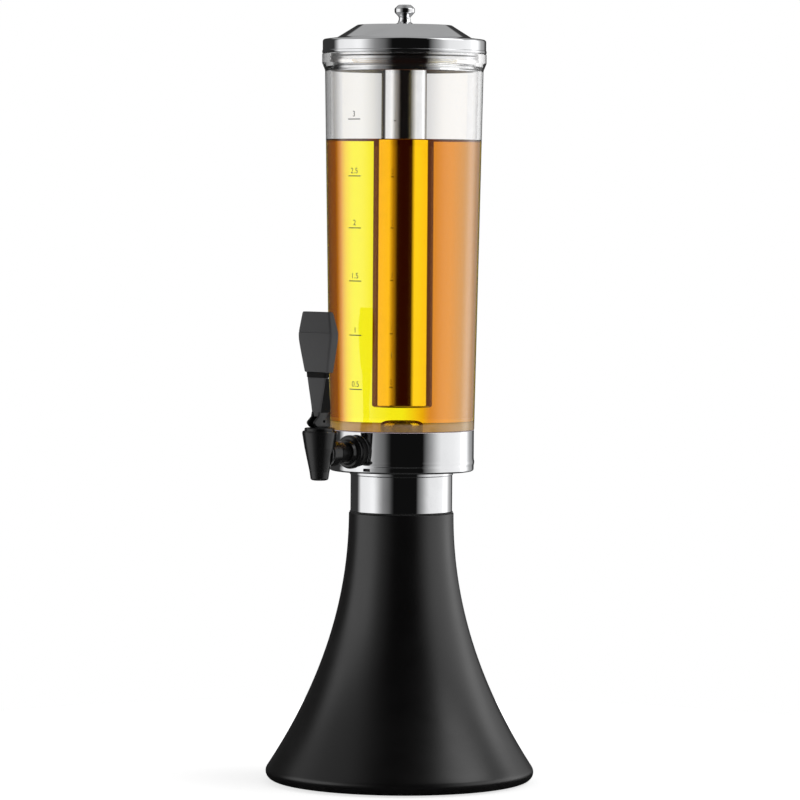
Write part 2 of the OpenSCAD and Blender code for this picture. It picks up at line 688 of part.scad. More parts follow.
module grip_screw() color(steel) at_pin()
    translate([0, arm_y + grip_depth / 2 - 2 - slack, grip_z + tang_h / 2]) rotate([90, 0, 0])
        translate([0, 0, -2 * slack]) screw(grip_screw_d, grip_depth / 2, 2 * grip_screw_d, 1.6);

// ---- Ice tube ----
ice_z = cap_z + cap_h + ice_gap;
dish_z = mouth_z + ice_wall;                    // top of the dish's rim
dish_floor_z = dish_z - dish_depth;
mouth_r = barrel_top_d / 2 - barrel_wall;
dish_r = mouth_r - 1.3;
dish_rim_r = mouth_lip_d / 2 - 2.3;
dish_bead = 0.8;
bead_gap = 6.5;
bead_end = 80;          // angle at which a bead runs into the wall
ice_round = 2;

// Points of a bead that stands out of the dish's wall, from its top down
function bead(z) =
    [for (i = [4:-1:-4]) let (a = bead_end * i / 4) [dish_r - ice_wall + dish_bead * cos(a), z + 1.2 * sin(a)]];

module ice_tube_dish() color(chrome)
    turned(sheet(concat(
        [[dish_rim_r, dish_z], [dish_r - ice_wall, dish_z]],
        bead(dish_z - dish_depth / 2 + bead_gap / 2), bead(dish_z - dish_depth / 2 - bead_gap / 2),
        [[dish_r - ice_wall, dish_floor_z], [ice_d / 2, dish_floor_z]]), ice_wall));

module ice_tube() color(chrome)
    turned(concat(
        [[0, ice_z]], arc([ice_d / 2 - ice_round, ice_z + ice_round], ice_round, -90, 0),
        [[ice_d / 2, dish_floor_z + weld_lip], [ice_d / 2 - ice_wall, dish_floor_z + weld_lip]],
        arc([ice_d / 2 - ice_round, ice_z + ice_round], ice_round - ice_wall, 0, -90),
        [[0, ice_z + ice_wall]]));

module dish_gasket() color(silicone)
    translate([0, 0, dish_z - dish_depth / 2 - 1])
        washer(2 * (dish_r + dish_bead + slack), 2 * (dish_r + dish_bead * cos(bead_end) + slack), 2);

// ---- Lid ----
lid_z = mouth_z + 3 * slack;                    // lower edge of the lid's hem
lid_r = lid_d / 2;
band_top_z = lid_z + lid_band_h;
cone_z = band_top_z + lid_shoulder;
lid_top_z = cone_z + lid_cone_h;
lid_corner = 2.5;
hem_h = 2;
hem_out = 0.4;
knob_screw_d = 4;
knob_washer_t = 1;

module lid_shell() color(chrome) {
    turned(sheet(concat(
        [[lid_r, lid_z]], arc([lid_r - lid_corner, band_top_z - lid_corner], lid_corner, 0, 75, 6),
        [[lid_cone_d / 2, cone_z], [lid_top_d / 2, lid_top_z],
         [knob_screw_d / 2 + slack, lid_top_z]]), lid_wall));
    turned([[lid_r - lid_wall / 2, lid_z], [lid_r + hem_out - 0.2, lid_z], [lid_r + hem_out, lid_z + 0.3],
            [lid_r + hem_out, lid_z + hem_h - 0.3], [lid_r + hem_out - 0.2, lid_z + hem_h],
            [lid_r - lid_wall / 2, lid_z + hem_h]]);
}

module lid_seal_ring() color(silicone)
    translate([0, 0, dish_z]) washer(2 * (lid_r - lid_wall - slack), 2 * (dish_r + 1.5), 2.4);

module lid_knob() color(chrome) difference() {
    turned(concat(
        [[0, lid_top_z], [0.53 * knob_d, lid_top_z], [0.43 * knob_d, lid_top_z + 0.06 * knob_h],
         [0.33 * knob_d, lid_top_z + 0.14 * knob_h], [0.27 * knob_d, lid_top_z + 0.26 * knob_h],
         [0.26 * knob_d, lid_top_z + 0.36 * knob_h], [0.33 * knob_d, lid_top_z + 0.46 * knob_h],
         [0.42 * knob_d, lid_top_z + 0.58 * knob_h]],
        arc([0.36 * knob_d, lid_top_z + 0.78 * knob_h], 0.14 * knob_d, -40, 70, 8),
        [[0.25 * knob_d, lid_top_z + 0.97 * knob_h], [0, lid_top_z + knob_h]]));
    translate([0, 0, lid_top_z - past]) cylinder(d = knob_screw_d + 2 * pin_slack, h = 0.6 * knob_h + past);
}

module knob_washer() color(steel)
    translate([0, 0, lid_top_z - lid_wall - knob_washer_t]) washer(3 * knob_screw_d, knob_screw_d + 2 * slack, knob_washer_t);

module knob_screw() color(steel)
    translate([0, 0, lid_top_z - lid_wall - knob_washer_t])
        screw(knob_screw_d, 0.5 * knob_h + lid_wall + knob_washer_t, 2 * knob_screw_d, 2.2);

trumpet_base();
base_plate();
base_plate_screws();
rubber_feet();
ballast_disc();
ballast_screws();
tie_rod();
tie_rod_nut();
tie_rod_washer();
neck_seal_ring();
neck_tube();
neck_plate();
collar_cup();
barrel_gasket();
barrel();
floor_washer();
floor_cap_nut();
tap_body();
tap_flange_nut();
tap_outer_washer();
tap_inner_washer();
tap_lock_nut();
tap_bonnet();
bonnet_seal();
valve_stem();
valve_seal();
valve_spring();
lever_arm();
lever_grip();
lever_pin();
grip_screw();
ice_tube();
ice_tube_dish();
dish_gasket();
lid_shell();
lid_seal_ring();
lid_knob();
knob_screw();
knob_washer();
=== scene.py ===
"""The looks of a drink tower with an ice tube and a lever tap."""

from functools import partial
from math import atan, cos, exp, hypot, pi, radians, sin, sqrt, tan, tau

import bmesh
import bpy
from mathutils import Matrix, Vector


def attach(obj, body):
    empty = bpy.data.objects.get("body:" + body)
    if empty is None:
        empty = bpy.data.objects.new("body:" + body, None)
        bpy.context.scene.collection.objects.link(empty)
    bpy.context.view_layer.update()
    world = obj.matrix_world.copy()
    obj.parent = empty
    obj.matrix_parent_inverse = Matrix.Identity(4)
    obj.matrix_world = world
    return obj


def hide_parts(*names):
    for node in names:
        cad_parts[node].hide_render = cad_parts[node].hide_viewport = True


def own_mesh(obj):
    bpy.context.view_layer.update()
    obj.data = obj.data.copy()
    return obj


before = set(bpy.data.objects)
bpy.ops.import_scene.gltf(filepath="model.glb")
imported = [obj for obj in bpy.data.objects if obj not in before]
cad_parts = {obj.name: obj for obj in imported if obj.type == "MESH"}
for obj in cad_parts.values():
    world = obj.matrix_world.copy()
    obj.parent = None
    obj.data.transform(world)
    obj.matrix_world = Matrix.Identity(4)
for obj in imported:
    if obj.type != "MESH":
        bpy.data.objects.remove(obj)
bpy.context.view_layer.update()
MM = 0.001

# ---- Trumpet base ----
# One hollow moulding in satin black plastic, flared along a power curve down to a rounded lip.
# A rim under the lip takes the steel base plate, a short spigot the neck tube.
BASE_R, BASE_H, NECK_TOP_R, FLARE_POWER, BASE_WALL, BASE_SEGMENTS = 113.0, 226.5, 44.1, 2.05, 3.0, 192
LIP_ROUND, LIP_GAP, EDGE_START, EDGE_ROUND, HOLD = 7.0, 1.0, 225.9, 0.6, 0.15
RIM_R, LEDGE_R, LEDGE_Z, RIM_TOP = 104.3, 101.0, 5.0, 8.6
SPIGOT_R, SPIGOT_BORE, SPIGOT_TOP, HOLLOW_TOP = 41.5, 38.5, 234.5, 220.5


def fillet(*corners, steps=6):
    """Corners (r, z, rounding) in mm as a fine outline of (r, z, is_corner)."""
    points, count = [], len(corners)
    for i, (r, z, *given) in enumerate(corners):
        p, rounding = Vector((r, z)), given[0] if given else 0
        if not rounding:
            points.append((p.x, p.y, 0.0))
            continue
        a, b = Vector(corners[i - 1][:2]) - p, Vector(corners[(i + 1) % count][:2]) - p
        half = a.angle(b) / 2
        run = min(rounding / tan(half), 0.46 * a.length, 0.46 * b.length)
        rounding = run * tan(half)
        a.normalize(), b.normalize()
        centre = p + (a + b).normalized() * (rounding / sin(half))
        start, end = p + a * run, p + b * run
        turn = (start - centre).angle_signed(end - centre)
        points.append((*(start + a * min(HOLD, run)), 0.0))
        for k in range(steps + 1):
            spoke = (start - centre).copy()
            spoke.rotate(Matrix.Rotation(-turn * k / steps, 2))
            points.append((*(centre + spoke), 1.0))
        points.append((*(end + b * min(HOLD, run)), 0.0))
    return points


def skin(rows, closed=False, capped=False):
    """Joins rows of points in mm into a mesh. A row of one point is a pole."""
    numbers, first = [], 0
    for row in rows:
        numbers.append(range(first, first + len(row)))
        first += len(row)
    faces = [tuple(numbers[0][::-1]), tuple(numbers[-1])] if capped else []
    for low, high in zip(numbers, numbers[1:] + (numbers[:1] if closed else [])):
        a, b = len(low), len(high)
        for k in range(max(a, b)):
            corners = dict.fromkeys((low[k % a], low[(k + 1) % a], high[(k + 1) % b], high[k % b]))
            if len(corners) > 2:
                faces.append(tuple(corners))
    mesh = bpy.data.meshes.new("made")
    mesh.from_pydata([[at * MM for at in point] for row in rows for point in row], [], faces)
    return mesh


def lathe_mesh(outline, segments=160, closed=True, place=Matrix()):
    """Spins an outline of (r, z, is_corner) about Z. One that starts on the axis is left open."""
    rows, marks = [], []
    for r, z, *mark in outline:
        turns = [tau * k / segments for k in range(segments)] if r > 1e-4 else [0.0]
        rows.append([(r * cos(turn), r * sin(turn), z) for turn in turns])
        marks += [mark[0] if mark else 0.0] * len(turns)
    mesh = skin(rows, closed and outline[0][0] > 0)
    mesh.attributes.new("corner", "FLOAT", "POINT").data.foreach_set("value", marks)
    mesh.transform(place)
    return mesh


def shade(mesh, sharp=38):
    """Shades a mesh smooth between its sharp edges."""
    mesh.shade_smooth()
    mesh.set_sharp_from_angle(angle=radians(sharp))
    return mesh


def tidy_mesh(mesh, sharp=38):
    """Merges doubles, points the faces outwards and shades the mesh."""
    work = bmesh.new()
    work.from_mesh(mesh)
    bmesh.ops.remove_doubles(work, verts=work.verts, dist=2e-6)
    bmesh.ops.recalc_face_normals(work, faces=work.faces)
    work.to_mesh(mesh)
    work.free()
    return shade(mesh, sharp)


def linked(name, data):
    """A new object of the scene that carries these data."""
    made = bpy.data.objects.new(name, data)
    bpy.context.scene.collection.objects.link(made)
    return made


def baked(carrier, *helpers):
    """The mesh that an object's modifiers make. The object and its helpers go."""
    bpy.context.view_layer.update()
    mesh = bpy.data.meshes.new_from_object(carrier.evaluated_get(bpy.context.evaluated_depsgraph_get()))
    carrier.modifiers.clear()
    for each in (carrier, *helpers):
        bpy.data.objects.remove(each)
    return mesh


def fit(name, mesh, material, slot, *nodes, body="tower"):
    """Makes a mesh a piece of the scene that rides on a body and stands for CAD nodes."""
    mesh.name = name
    mesh.materials.clear()
    mesh.materials.append(material)
    piece = linked(name, mesh)
    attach(piece, body)
    if nodes:
        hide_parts(*nodes)
    return piece


def feed(tree, node, inputs):
    """Sets a node's inputs to numbers or colours, or links sockets to them."""
    for key, value in inputs.items():
        if isinstance(value, bpy.types.NodeSocket):
            tree.links.new(value, node.inputs[key])
        else:
            node.inputs[key].default_value = value


def add(tree, kind, inputs=None, **settings):
    """Adds a shader, geometry or group node to a tree and gives its outputs."""
    start = next(each for each in ("ShaderNode", "GeometryNode", "NodeGroup") if hasattr(bpy.types, each + kind))
    made = tree.nodes.new(start + kind)
    for key, value in settings.items():
        setattr(made, key, value)
    feed(tree, made, inputs or {})
    return made.outputs


def maths(tree, operation, *values):
    """The result of one sum on numbers or sockets."""
    return add(tree, "Math", dict(enumerate(values)), operation=operation)[0]


def ranged(tree, value, low, high, to_low=0.0, to_high=1.0, smooth=False):
    """Maps a value from one range to another."""
    sizes = {"Value": value, "From Min": low, "From Max": high, "To Min": to_low, "To Max": to_high}
    return add(tree, "MapRange", sizes, interpolation_type="SMOOTHSTEP" if smooth else "LINEAR")[0]


def rgba(value):
    """A grey or a colour as four numbers. A socket stays as it is."""
    if isinstance(value, bpy.types.NodeSocket):
        return value
    return (*value, 1) if isinstance(value, tuple) else (value, value, value, 1)


def blend(tree, mask, low, high):
    """Goes over from one colour to another as a mask rises from 0 to 1."""
    return add(tree, "Mix", {0: mask, 6: rgba(low), 7: rgba(high)}, data_type="RGBA")[2]


def bump(tree, height, strength, distance):
    """The normal that a height makes."""
    return add(tree, "Bump", {"Height": height, "Strength": strength, "Distance": distance})[0]


def new_group(name, kind, inputs, outputs):
    """A node group with inputs and outputs of {type: names}, and the sockets inside."""
    group = bpy.data.node_groups.new(name, kind)
    for side, given in (("INPUT", inputs), ("OUTPUT", outputs)):
        for socket, keys in given.items():
            for key in keys.split(", "):
                group.interface.new_socket(key, in_out=side, socket_type=f"NodeSocket{socket}")
    return group, add(group, "Input")


def handled_surface():
    """Shader group: soft wiping smudges, fine grain and the worn mask of corners."""
    group, given = new_group("handled_surface", "ShaderNodeTree", {"Float": "Smudge Scale, Grain Scale, Seed"},
        {"Float": "Smudges, Grain, Worn Corners"})
    where = {"Vector": add(group, "TexCoord")["Object"], "W": given["Seed"]}
    smudge, grain = (
        add(group, "TexNoise", {**where, **sizes}, noise_dimensions="4D")["Fac"] for sizes in (
            {"Scale": given["Smudge Scale"], "Detail": 5.0, "Roughness": 0.62, "Distortion": 0.8},
            {"Scale": given["Grain Scale"], "Detail": 3.0, "Roughness": 0.55}))
    corner = add(group, "Attribute", attribute_name="corner")["Fac"]
    worn = ranged(group, maths(group, "MULTIPLY", corner, smudge), 0.45, 0.7, smooth=True)
    add(group, "Output", {"Smudges": ranged(group, smudge, 0.42, 0.72, smooth=True), "Grain": grain,
        "Worn Corners": worn})
    return group


HANDLED = handled_surface()


def settle(material, **values):
    """Sets inputs of a material's Principled shader to numbers, colours or sockets."""
    tree = material.node_tree
    feed(tree, tree.nodes["Principled BSDF"], {key.replace("_", " "): value for key, value in values.items()})


def surface(name, seed, scales, colours=None, rough=None, relief=None, masks=("Smudges",) * 2 + ("Grain",), **fixed):
    """A Principled material. Masks of handled_surface move its colour, roughness and relief."""
    material = bpy.data.materials.new(name)
    material.use_nodes = True
    tree = material.node_tree
    tree.nodes.clear()
    shader = add(tree, "BsdfPrincipled")
    add(tree, "OutputMaterial", {"Surface": shader[0]})
    sizes = {"Smudge Scale": scales[0], "Grain Scale": scales[1], "Seed": seed}
    handled = add(tree, "Group", sizes, node_tree=HANDLED)
    if colours:
        fixed["Base_Color"] = blend(tree, handled[masks[0]], *colours)
    if rough:
        fixed["Roughness"] = ranged(tree, handled[masks[1]], 0, 1, *rough)
    if relief:
        fixed["Normal"] = bump(tree, handled[masks[2]], *relief)
    settle(material, **fixed)
    return material


def satin_black(name, seed, base, worn, rough, grain_scale, grain_depth, shine=0.5):
    """Moulded black plastic: spark-eroded grain, smudges and slightly polished corners."""
    return surface(name, seed, (14.0, grain_scale), (base, worn), rough, (0.35, grain_depth),
        ("Worn Corners", "Smudges", "Grain"), IOR=1.5, Specular_IOR_Level=shine)


def end_group(tree, made, material):
    """Ends a geometry nodes tree with real copies in one material."""
    real = add(tree, "RealizeInstances", {"Geometry": made[0]})
    painted = add(tree, "SetMaterial", {"Geometry": real[0], "Material": material})
    add(tree, "Output", {"Geometry": painted[0]})
    return tree


def flared_wall():
    """Geometry nodes: adds the power-curve wall of a trumpet to the rest of its moulding."""
    tree, given = new_group("flared_wall", "GeometryNodeTree", {
        "Geometry": "Geometry", "Float": "Top Radius, End Radius, Height, Start Height, End Height, Power",
        "Int": "Segments, Rings", "Material": "Material"}, {"Geometry": "Geometry"})
    calc = partial(maths, tree)
    columns = calc("ADD", given["Segments"], 1.0)
    grid = add(tree, "MeshGrid", {"Size X": 1.0, "Size Y": 1.0, "Vertices X": columns,
        "Vertices Y": given["Rings"]})
    place = add(tree, "SeparateXYZ", {0: add(tree, "InputPosition")[0]})
    angle = calc("MULTIPLY", calc("ADD", place["X"], 0.5), tau)
    fall = calc("SUBTRACT", given["Start Height"], given["End Height"])
    height = calc("SUBTRACT", given["Start Height"], calc("MULTIPLY", calc("ADD", place["Y"], 0.5), fall))
    share = calc("DIVIDE", calc("SUBTRACT", given["Height"], height),
        calc("SUBTRACT", given["Height"], given["End Height"]))
    spread = calc("MULTIPLY", calc("POWER", share, given["Power"]),
        calc("SUBTRACT", given["End Radius"], given["Top Radius"]))
    radius = calc("ADD", given["Top Radius"], spread)
    moved = add(tree, "CombineXYZ", {"X": calc("MULTIPLY", radius, calc("COSINE", angle)),
        "Y": calc("MULTIPLY", radius, calc("SINE", angle)), "Z": height})
    wall = add(tree, "SetPosition", {"Geometry": grid[0], "Position": moved[0]})
    joined = add(tree, "JoinGeometry")
    for part in (wall[0], given["Geometry"]):
        feed(tree, joined[0].node, {0: part})
    merged = add(tree, "MergeByDistance", {"Geometry": joined[0], "Distance": 5e-6})
    return end_group(tree, merged, given["Material"])


def grow(mesh, tree, **values):
    """The plain mesh that a geometry nodes tree makes of a mesh."""
    carrier = linked("carrier", mesh)
    made = carrier.modifiers.new("grow", "NODES")
    made.node_group = tree
    names = {s.name: s.identifier for s in tree.interface.items_tree if s.in_out == "INPUT"}
    for key, value in values.items():
        made[names[key.replace("_", " ")]] = value
    return baked(carrier)


base_black = satin_black("satin_black_base", 1.0, (0.0025, 0.0022, 0.0024), 0.009, (0.28, 0.34), 2600.0, 0.00004, 0.7)
lip_angle = atan(FLARE_POWER * (BASE_R - NECK_TOP_R) / (BASE_H - LIP_ROUND))
lip_r, lip_z = BASE_R - LIP_ROUND, LIP_GAP + LIP_ROUND
flare_end_r, flare_end_z = lip_r + LIP_ROUND * cos(lip_angle), lip_z + LIP_ROUND * sin(lip_angle)


def flare_r(z):
    """Outside radius of the trumpet at height z."""
    return NECK_TOP_R + (flare_end_r - NECK_TOP_R) * ((BASE_H - z) / (BASE_H - flare_end_z)) ** FLARE_POWER


def flare_slope(z):
    """How fast the trumpet widens as z falls."""
    return FLARE_POWER * (flare_r(z) - NECK_TOP_R) / (BASE_H - z)


def arc(r, z, rounding, start, end, steps, mark):
    """Points of an outline on a circle about (r, z), from one angle to another."""
    turns = [start + (end - start) * k / steps for k in range(steps + 1)]
    return [(r + rounding * cos(turn), z + rounding * sin(turn), mark) for turn in turns]


rest_of_base = arc(lip_r, lip_z, LIP_ROUND, lip_angle, -pi / 2, 14, 0.5)
rest_of_base += fillet((RIM_R + 1.1, LIP_GAP), (RIM_R, LIP_GAP, 0.35), (RIM_R, LEDGE_Z), (LEDGE_R, LEDGE_Z),
    (LEDGE_R, RIM_TOP))
hollow_low = flare_end_z + 3
for k in range(41):
    z = hollow_low + (HOLLOW_TOP - hollow_low) * k / 40
    tilt = hypot(1, flare_slope(z))
    rest_of_base.append((flare_r(z) - BASE_WALL / tilt, z - BASE_WALL * flare_slope(z) / tilt, 0.0))
rest_of_base += fillet((SPIGOT_R - 0.5, HOLLOW_TOP + 1), (SPIGOT_BORE, HOLLOW_TOP + 1), (SPIGOT_BORE, SPIGOT_TOP, 0.4),
    (SPIGOT_R, SPIGOT_TOP, 0.6), (SPIGOT_R, BASE_H))
rest_of_base += arc(flare_r(EDGE_START) - EDGE_ROUND, EDGE_START, EDGE_ROUND, pi / 2, 0, 7, 1.0)
base_mesh = grow(
    lathe_mesh(rest_of_base, BASE_SEGMENTS, closed=False), flared_wall(),
    Top_Radius=NECK_TOP_R * MM, End_Radius=flare_end_r * MM, Height=BASE_H * MM, Start_Height=EDGE_START * MM,
    End_Height=flare_end_z * MM, Power=FLARE_POWER, Segments=BASE_SEGMENTS, Rings=61, Material=base_black)
fit("trumpet_moulding", tidy_mesh(base_mesh), base_black, "black_gloss", "trumpet_base")

# ---- Base plate and its fixings ----
# A pressed, zinc-plated steel disc with a raised pan. Four pan-head screws hold it to posts in the trumpet.
# Three more hold the cast ballast disc on top of it.
PLATE_R, PLATE_Z, PLATE_WALL, PLATE_HOLE_R, PAN_R, PAN_Z = 104.2, 3.0, 2.0, 5.1, 30.0, 16.0
POST_R, BALLAST_SCREW_R, SCREW_HEAD_H = 91.9, 52.0, 2.2


def turned(name, outline, segments, material, slot, *nodes, body="tower", sharp=38, place=Matrix()):
    """Fits a piece that is spun from one outline, and gives back its mesh."""
    mesh = tidy_mesh(lathe_mesh(outline, segments, place=place), sharp)
    fit(name, mesh, material, slot, *nodes, body=body)
    return mesh


def plated_steel(name, seed, low, high, rough, metallic=1.0):
    """Plain steel with a faint turned grain and dulled patches."""
    return surface(name, seed, (30.0, 900.0), (low, high), rough, (0.2, 0.00003), Metallic=metallic)


def ring_of_parts():
    """Geometry nodes: sets copies of one part on a circle, each turned to face outwards."""
    tree, given = new_group("ring_of_parts", "GeometryNodeTree", {
        "Geometry": "Geometry", "Int": "Count", "Float": "Radius, First Angle", "Material": "Material"},
        {"Geometry": "Geometry"})
    ring = add(tree, "MeshCircle", {"Vertices": given["Count"], "Radius": given["Radius"]})
    spun = add(tree, "CombineXYZ", {"Z": given["First Angle"]})
    placed = add(tree, "Transform", {"Geometry": ring[0], "Rotation": spun[0]})
    step = maths(tree, "DIVIDE", tau, given["Count"])
    turned_by = maths(tree, "MULTIPLY", add(tree, "InputIndex")[0], step)
    turn = add(tree, "CombineXYZ", {"Z": maths(tree, "ADD", turned_by, given["First Angle"])})
    copies = add(tree, "InstanceOnPoints", {
        "Points": placed[0], "Instance": given["Geometry"], "Rotation": turn[0]})
    return end_group(tree, copies, given["Material"])


RING = ring_of_parts()


def cut(mesh, tool, operation="DIFFERENCE"):
    """One closed mesh cut with another."""
    carrier, cutter = linked("carrier", mesh), linked("cutter", tool)
    made = carrier.modifiers.new("cut", "BOOLEAN")
    made.operation, made.object, made.solver = operation, cutter, "EXACT"
    return baked(carrier, cutter)


def block_mesh(*rectangles):
    """A closed block between two level rectangles (x0, y0, x1, y1, z) in mm."""
    return skin([[(x0, y0, z), (x1, y0, z), (x1, y1, z), (x0, y1, z)] for x0, y0, x1, y1, z in rectangles], capped=True)


def screw_mesh(shank_r, length, head_r, head_h, place):
    """A pan-head screw with a cross recess, head under z = 0 and shank up."""
    outline = fillet((0, -head_h), (head_r * 0.62, -head_h, 0.8), (head_r, -head_h * 0.45, 0.5), (head_r, 0, 0.1),
        (shank_r, 0), steps=4)
    z = 0.6
    while z < length - 1.2:
        outline += [(shank_r, z, 0), (shank_r * 0.84, z + 0.35, 0)]
        z += 0.7
    outline += [(shank_r * 0.8, length - 0.6, 0), (shank_r * 0.4, length, 0), (0, length, 0)]
    mesh = tidy_mesh(lathe_mesh(outline, 32))
    bar, tip, half, thin = (head_r * share for share in (0.5, 0.36, 0.12, 0.08))
    for x, y, tx, ty in ((bar, half, tip, thin), (half, bar, thin, tip)):
        mesh = cut(mesh, block_mesh((-x, -y, x, y, -head_h - 0.3), (-tx, -ty, tx, ty, -head_h * 0.35)))
    shade(mesh, 30).transform(place)
    return mesh


zinc = plated_steel("zinc_plated_steel", 2.0, (0.55, 0.56, 0.57), (0.44, 0.45, 0.45), (0.26, 0.42))
turned("pressed_base_plate", fillet(
    (PLATE_HOLE_R, PAN_Z), (PAN_R, PAN_Z, 1.6), (PAN_R, PLATE_Z, 1.4), (PLATE_R, PLATE_Z, 0.5),
    (PLATE_R, PLATE_Z + PLATE_WALL, 0.5), (PAN_R + PLATE_WALL, PLATE_Z + PLATE_WALL, 1.4),
    (PAN_R + PLATE_WALL, PAN_Z + PLATE_WALL, 1.8), (PLATE_HOLE_R, PAN_Z + PLATE_WALL)), 128, zinc, "plain_steel",
    "base_plate")
AT_PLATE = Matrix.Translation((0, 0, PLATE_Z * MM))
fit("plate_screws", grow(screw_mesh(2.0, 17.0, 4.0, SCREW_HEAD_H, AT_PLATE), RING, Count=4, Radius=POST_R * MM,
    First_Angle=pi / 4, Material=zinc), zinc, "plain_steel", "base_plate_screws")
fit("ballast_fixings", grow(screw_mesh(2.5, 16.0, 4.5, SCREW_HEAD_H, AT_PLATE), RING, Count=3,
    Radius=BALLAST_SCREW_R * MM, Material=zinc), zinc, "plain_steel", "ballast_screws")

# ---- Rubber feet ----
# Four black rubber buttons under the plate, each dished so that it grips the table.
# They sit between the screws, close to the edge.
FOOT_R, FOOT_CIRCLE_R = 9.0, 93.2


def soft_rubber(name, seed, low, high, rough, **fixed):
    """Dull rubber or silicone with a dusty bloom."""
    return surface(name, seed, (60.0, 1800.0), (low, high), (rough - 0.08, rough + 0.08), (0.3, 0.00005),
        ("Smudges", "Grain", "Grain"), **fixed)


black_rubber = soft_rubber("black_rubber", 3.0, 0.018, (0.04, 0.039, 0.037), 0.7)
foot = fillet((0, 0.7), (4.4, 0.7, 0.5), (5.2, 0, 0.4), (FOOT_R - 1, 0, 0.5), (FOOT_R, PLATE_Z), (0, PLATE_Z))
fit("rubber_buttons", grow(tidy_mesh(lathe_mesh(foot, 48)), RING, Count=4,
    Radius=FOOT_CIRCLE_R * MM, Material=black_rubber), black_rubber, "black_rubber", "rubber_feet")

# ---- Ballast ----
# A grey cast iron ring on the base plate, hidden in the trumpet.
# It keeps the tower upright.
BALLAST_R, BALLAST_BORE, BALLAST_Z, BALLAST_TOP = 70.0, 34.0, 5.0, 25.0
cast_iron = surface("painted_cast_iron", 4.0, (22.0, 420.0), ((0.035, 0.036, 0.038), (0.16, 0.12, 0.09)),
    (0.62, 0.85), (0.6, 0.0004), ("Worn Corners", "Smudges", "Grain"))
turned("ballast_casting", fillet(
    (BALLAST_BORE, BALLAST_Z, 1), (BALLAST_R, BALLAST_Z, 1), (BALLAST_R, BALLAST_TOP, 2.5),
    (BALLAST_BORE, BALLAST_TOP, 2.0)), 96, cast_iron, "cast_iron", "ballast_disc")

# ---- Tie rod ----
# One threaded steel rod that clamps base, neck, collar and barrel together.
# It runs from a hexagon nut and a washer under the pan up to the cap nut in the barrel.
ROD_R, ROD_Z, ROD_TOP, THREAD_DEPTH, THREAD_PITCH, HOLE_R = 5.0, 4.0, 302.0, 0.75, 1.5, 5.2
NUT_AF, NUT_Z, NUT_TOP, WASHER_R = 17.0, 6.0, 14.0, 15.0


def washer(inner, outer, low, high, inside, outside):
    """A ring's outline between two radii and heights, with two roundings."""
    return fillet((inner, low, inside), (outer, low, outside), (outer, high, outside), (inner, high, inside))


def hex_mesh(across_flats, low, high, bore_r, chamfer=1.4):
    """A hexagon nut with chamfered corners between two heights, in mm."""
    corner = across_flats / 2 / cos(pi / 6)
    edge_r, past_r = across_flats / 2 - 0.4, corner + 0.1
    blank, keep, drill = (tidy_mesh(lathe_mesh(outline, segments)) for outline, segments in (
        ([(0, low - 0.5), (corner, low - 0.5), (corner, high + 0.5), (0, high + 0.5)], 6),
        ([(0, low), (edge_r, low), (past_r, low + chamfer), (past_r, high - chamfer), (edge_r, high), (0, high)], 96),
        ([(0, low - 1), (bore_r + 0.7, low - 1), (bore_r, low + 0.7), (bore_r, high - 0.7), (bore_r + 0.7, high + 1),
          (0, high + 1)], 48)))
    return tidy_mesh(cut(cut(blank, keep, "INTERSECT"), drill), sharp=18)


rod_steel = plated_steel("rod_steel", 5.0, 0.58, (0.42, 0.42, 0.41), (0.22, 0.4))
rod = [(0, ROD_Z), (ROD_R - 0.8, ROD_Z)]
for z, top in ((4.6, 30.0), (270.0, 301.0)):
    while z < top:
        rod += [(ROD_R, z + 0.3), (ROD_R - THREAD_DEPTH, z + 1.05)]
        z += THREAD_PITCH
rod += [(ROD_R - 0.8, ROD_TOP), (0, ROD_TOP)]
turned("threaded_tie_rod", rod, 40, rod_steel, "plain_steel", "tie_rod", sharp=70)
fit("pan_nut", hex_mesh(NUT_AF, NUT_Z, NUT_TOP, ROD_R + 0.05), zinc, "plain_steel", "tie_rod_nut")
turned("pan_washer", washer(HOLE_R, WASHER_R, NUT_TOP, PAN_Z, 0.2, 0.4), 64, zinc, "plain_steel", "tie_rod_washer")

# ---- Neck ----
# A short stainless tube, mirror polished, on a thin black ring.
# A turned plate closes its top.
NECK_R, NECK_WALL, NECK_Z, NECK_TOP, COLLAR_Z, GROOVE_Z = 42.8, 1.2, 227.7, 258.5, 262.0, 250.5


def mirror_polish(name, seed, colour, dull, rough):
    """Polished stainless steel, almost a mirror, with wiping marks and hairlines."""
    material = surface(name, seed, (26.0, 700.0), (colour, dull), rough, Metallic=1.0)
    tree = material.node_tree
    where = add(tree, "TexCoord")["Object"]
    drawn = add(tree, "Mapping", {"Vector": where, "Scale": (40.0, 40.0, 4200.0)})[0]
    hair = add(tree, "TexNoise", {"Vector": drawn, "Scale": 1.0, "Detail": 2.0})["Fac"]
    settle(material, Normal=bump(tree, hair, 0.25, 0.00000035))
    return material


polished = mirror_polish("polished_stainless", 6.0, (0.8, 0.805, 0.815), (0.74, 0.745, 0.755), (0.035, 0.075))
turned("neck_ring", washer(41.6, 43.45, BASE_H, NECK_Z, 0.2, 0.3), 160, black_rubber, "black_rubber", "neck_seal_ring")
turned("polished_neck", washer(NECK_R - NECK_WALL, NECK_R, NECK_Z, NECK_TOP, 0.3, 0.5), 256, polished,
    "polished_steel", "neck_tube")
turned("neck_top_plate", fillet(
    (HOLE_R, COLLAR_Z), (43.4, COLLAR_Z, 0.5), (43.4, NECK_TOP, 0.5), (SPIGOT_R, NECK_TOP),
    (SPIGOT_R, GROOVE_Z, 0.4), (SPIGOT_BORE, GROOVE_Z, 0.4), (SPIGOT_BORE, NECK_TOP), (HOLE_R, NECK_TOP)), 256,
    polished, "polished_steel", "neck_plate")

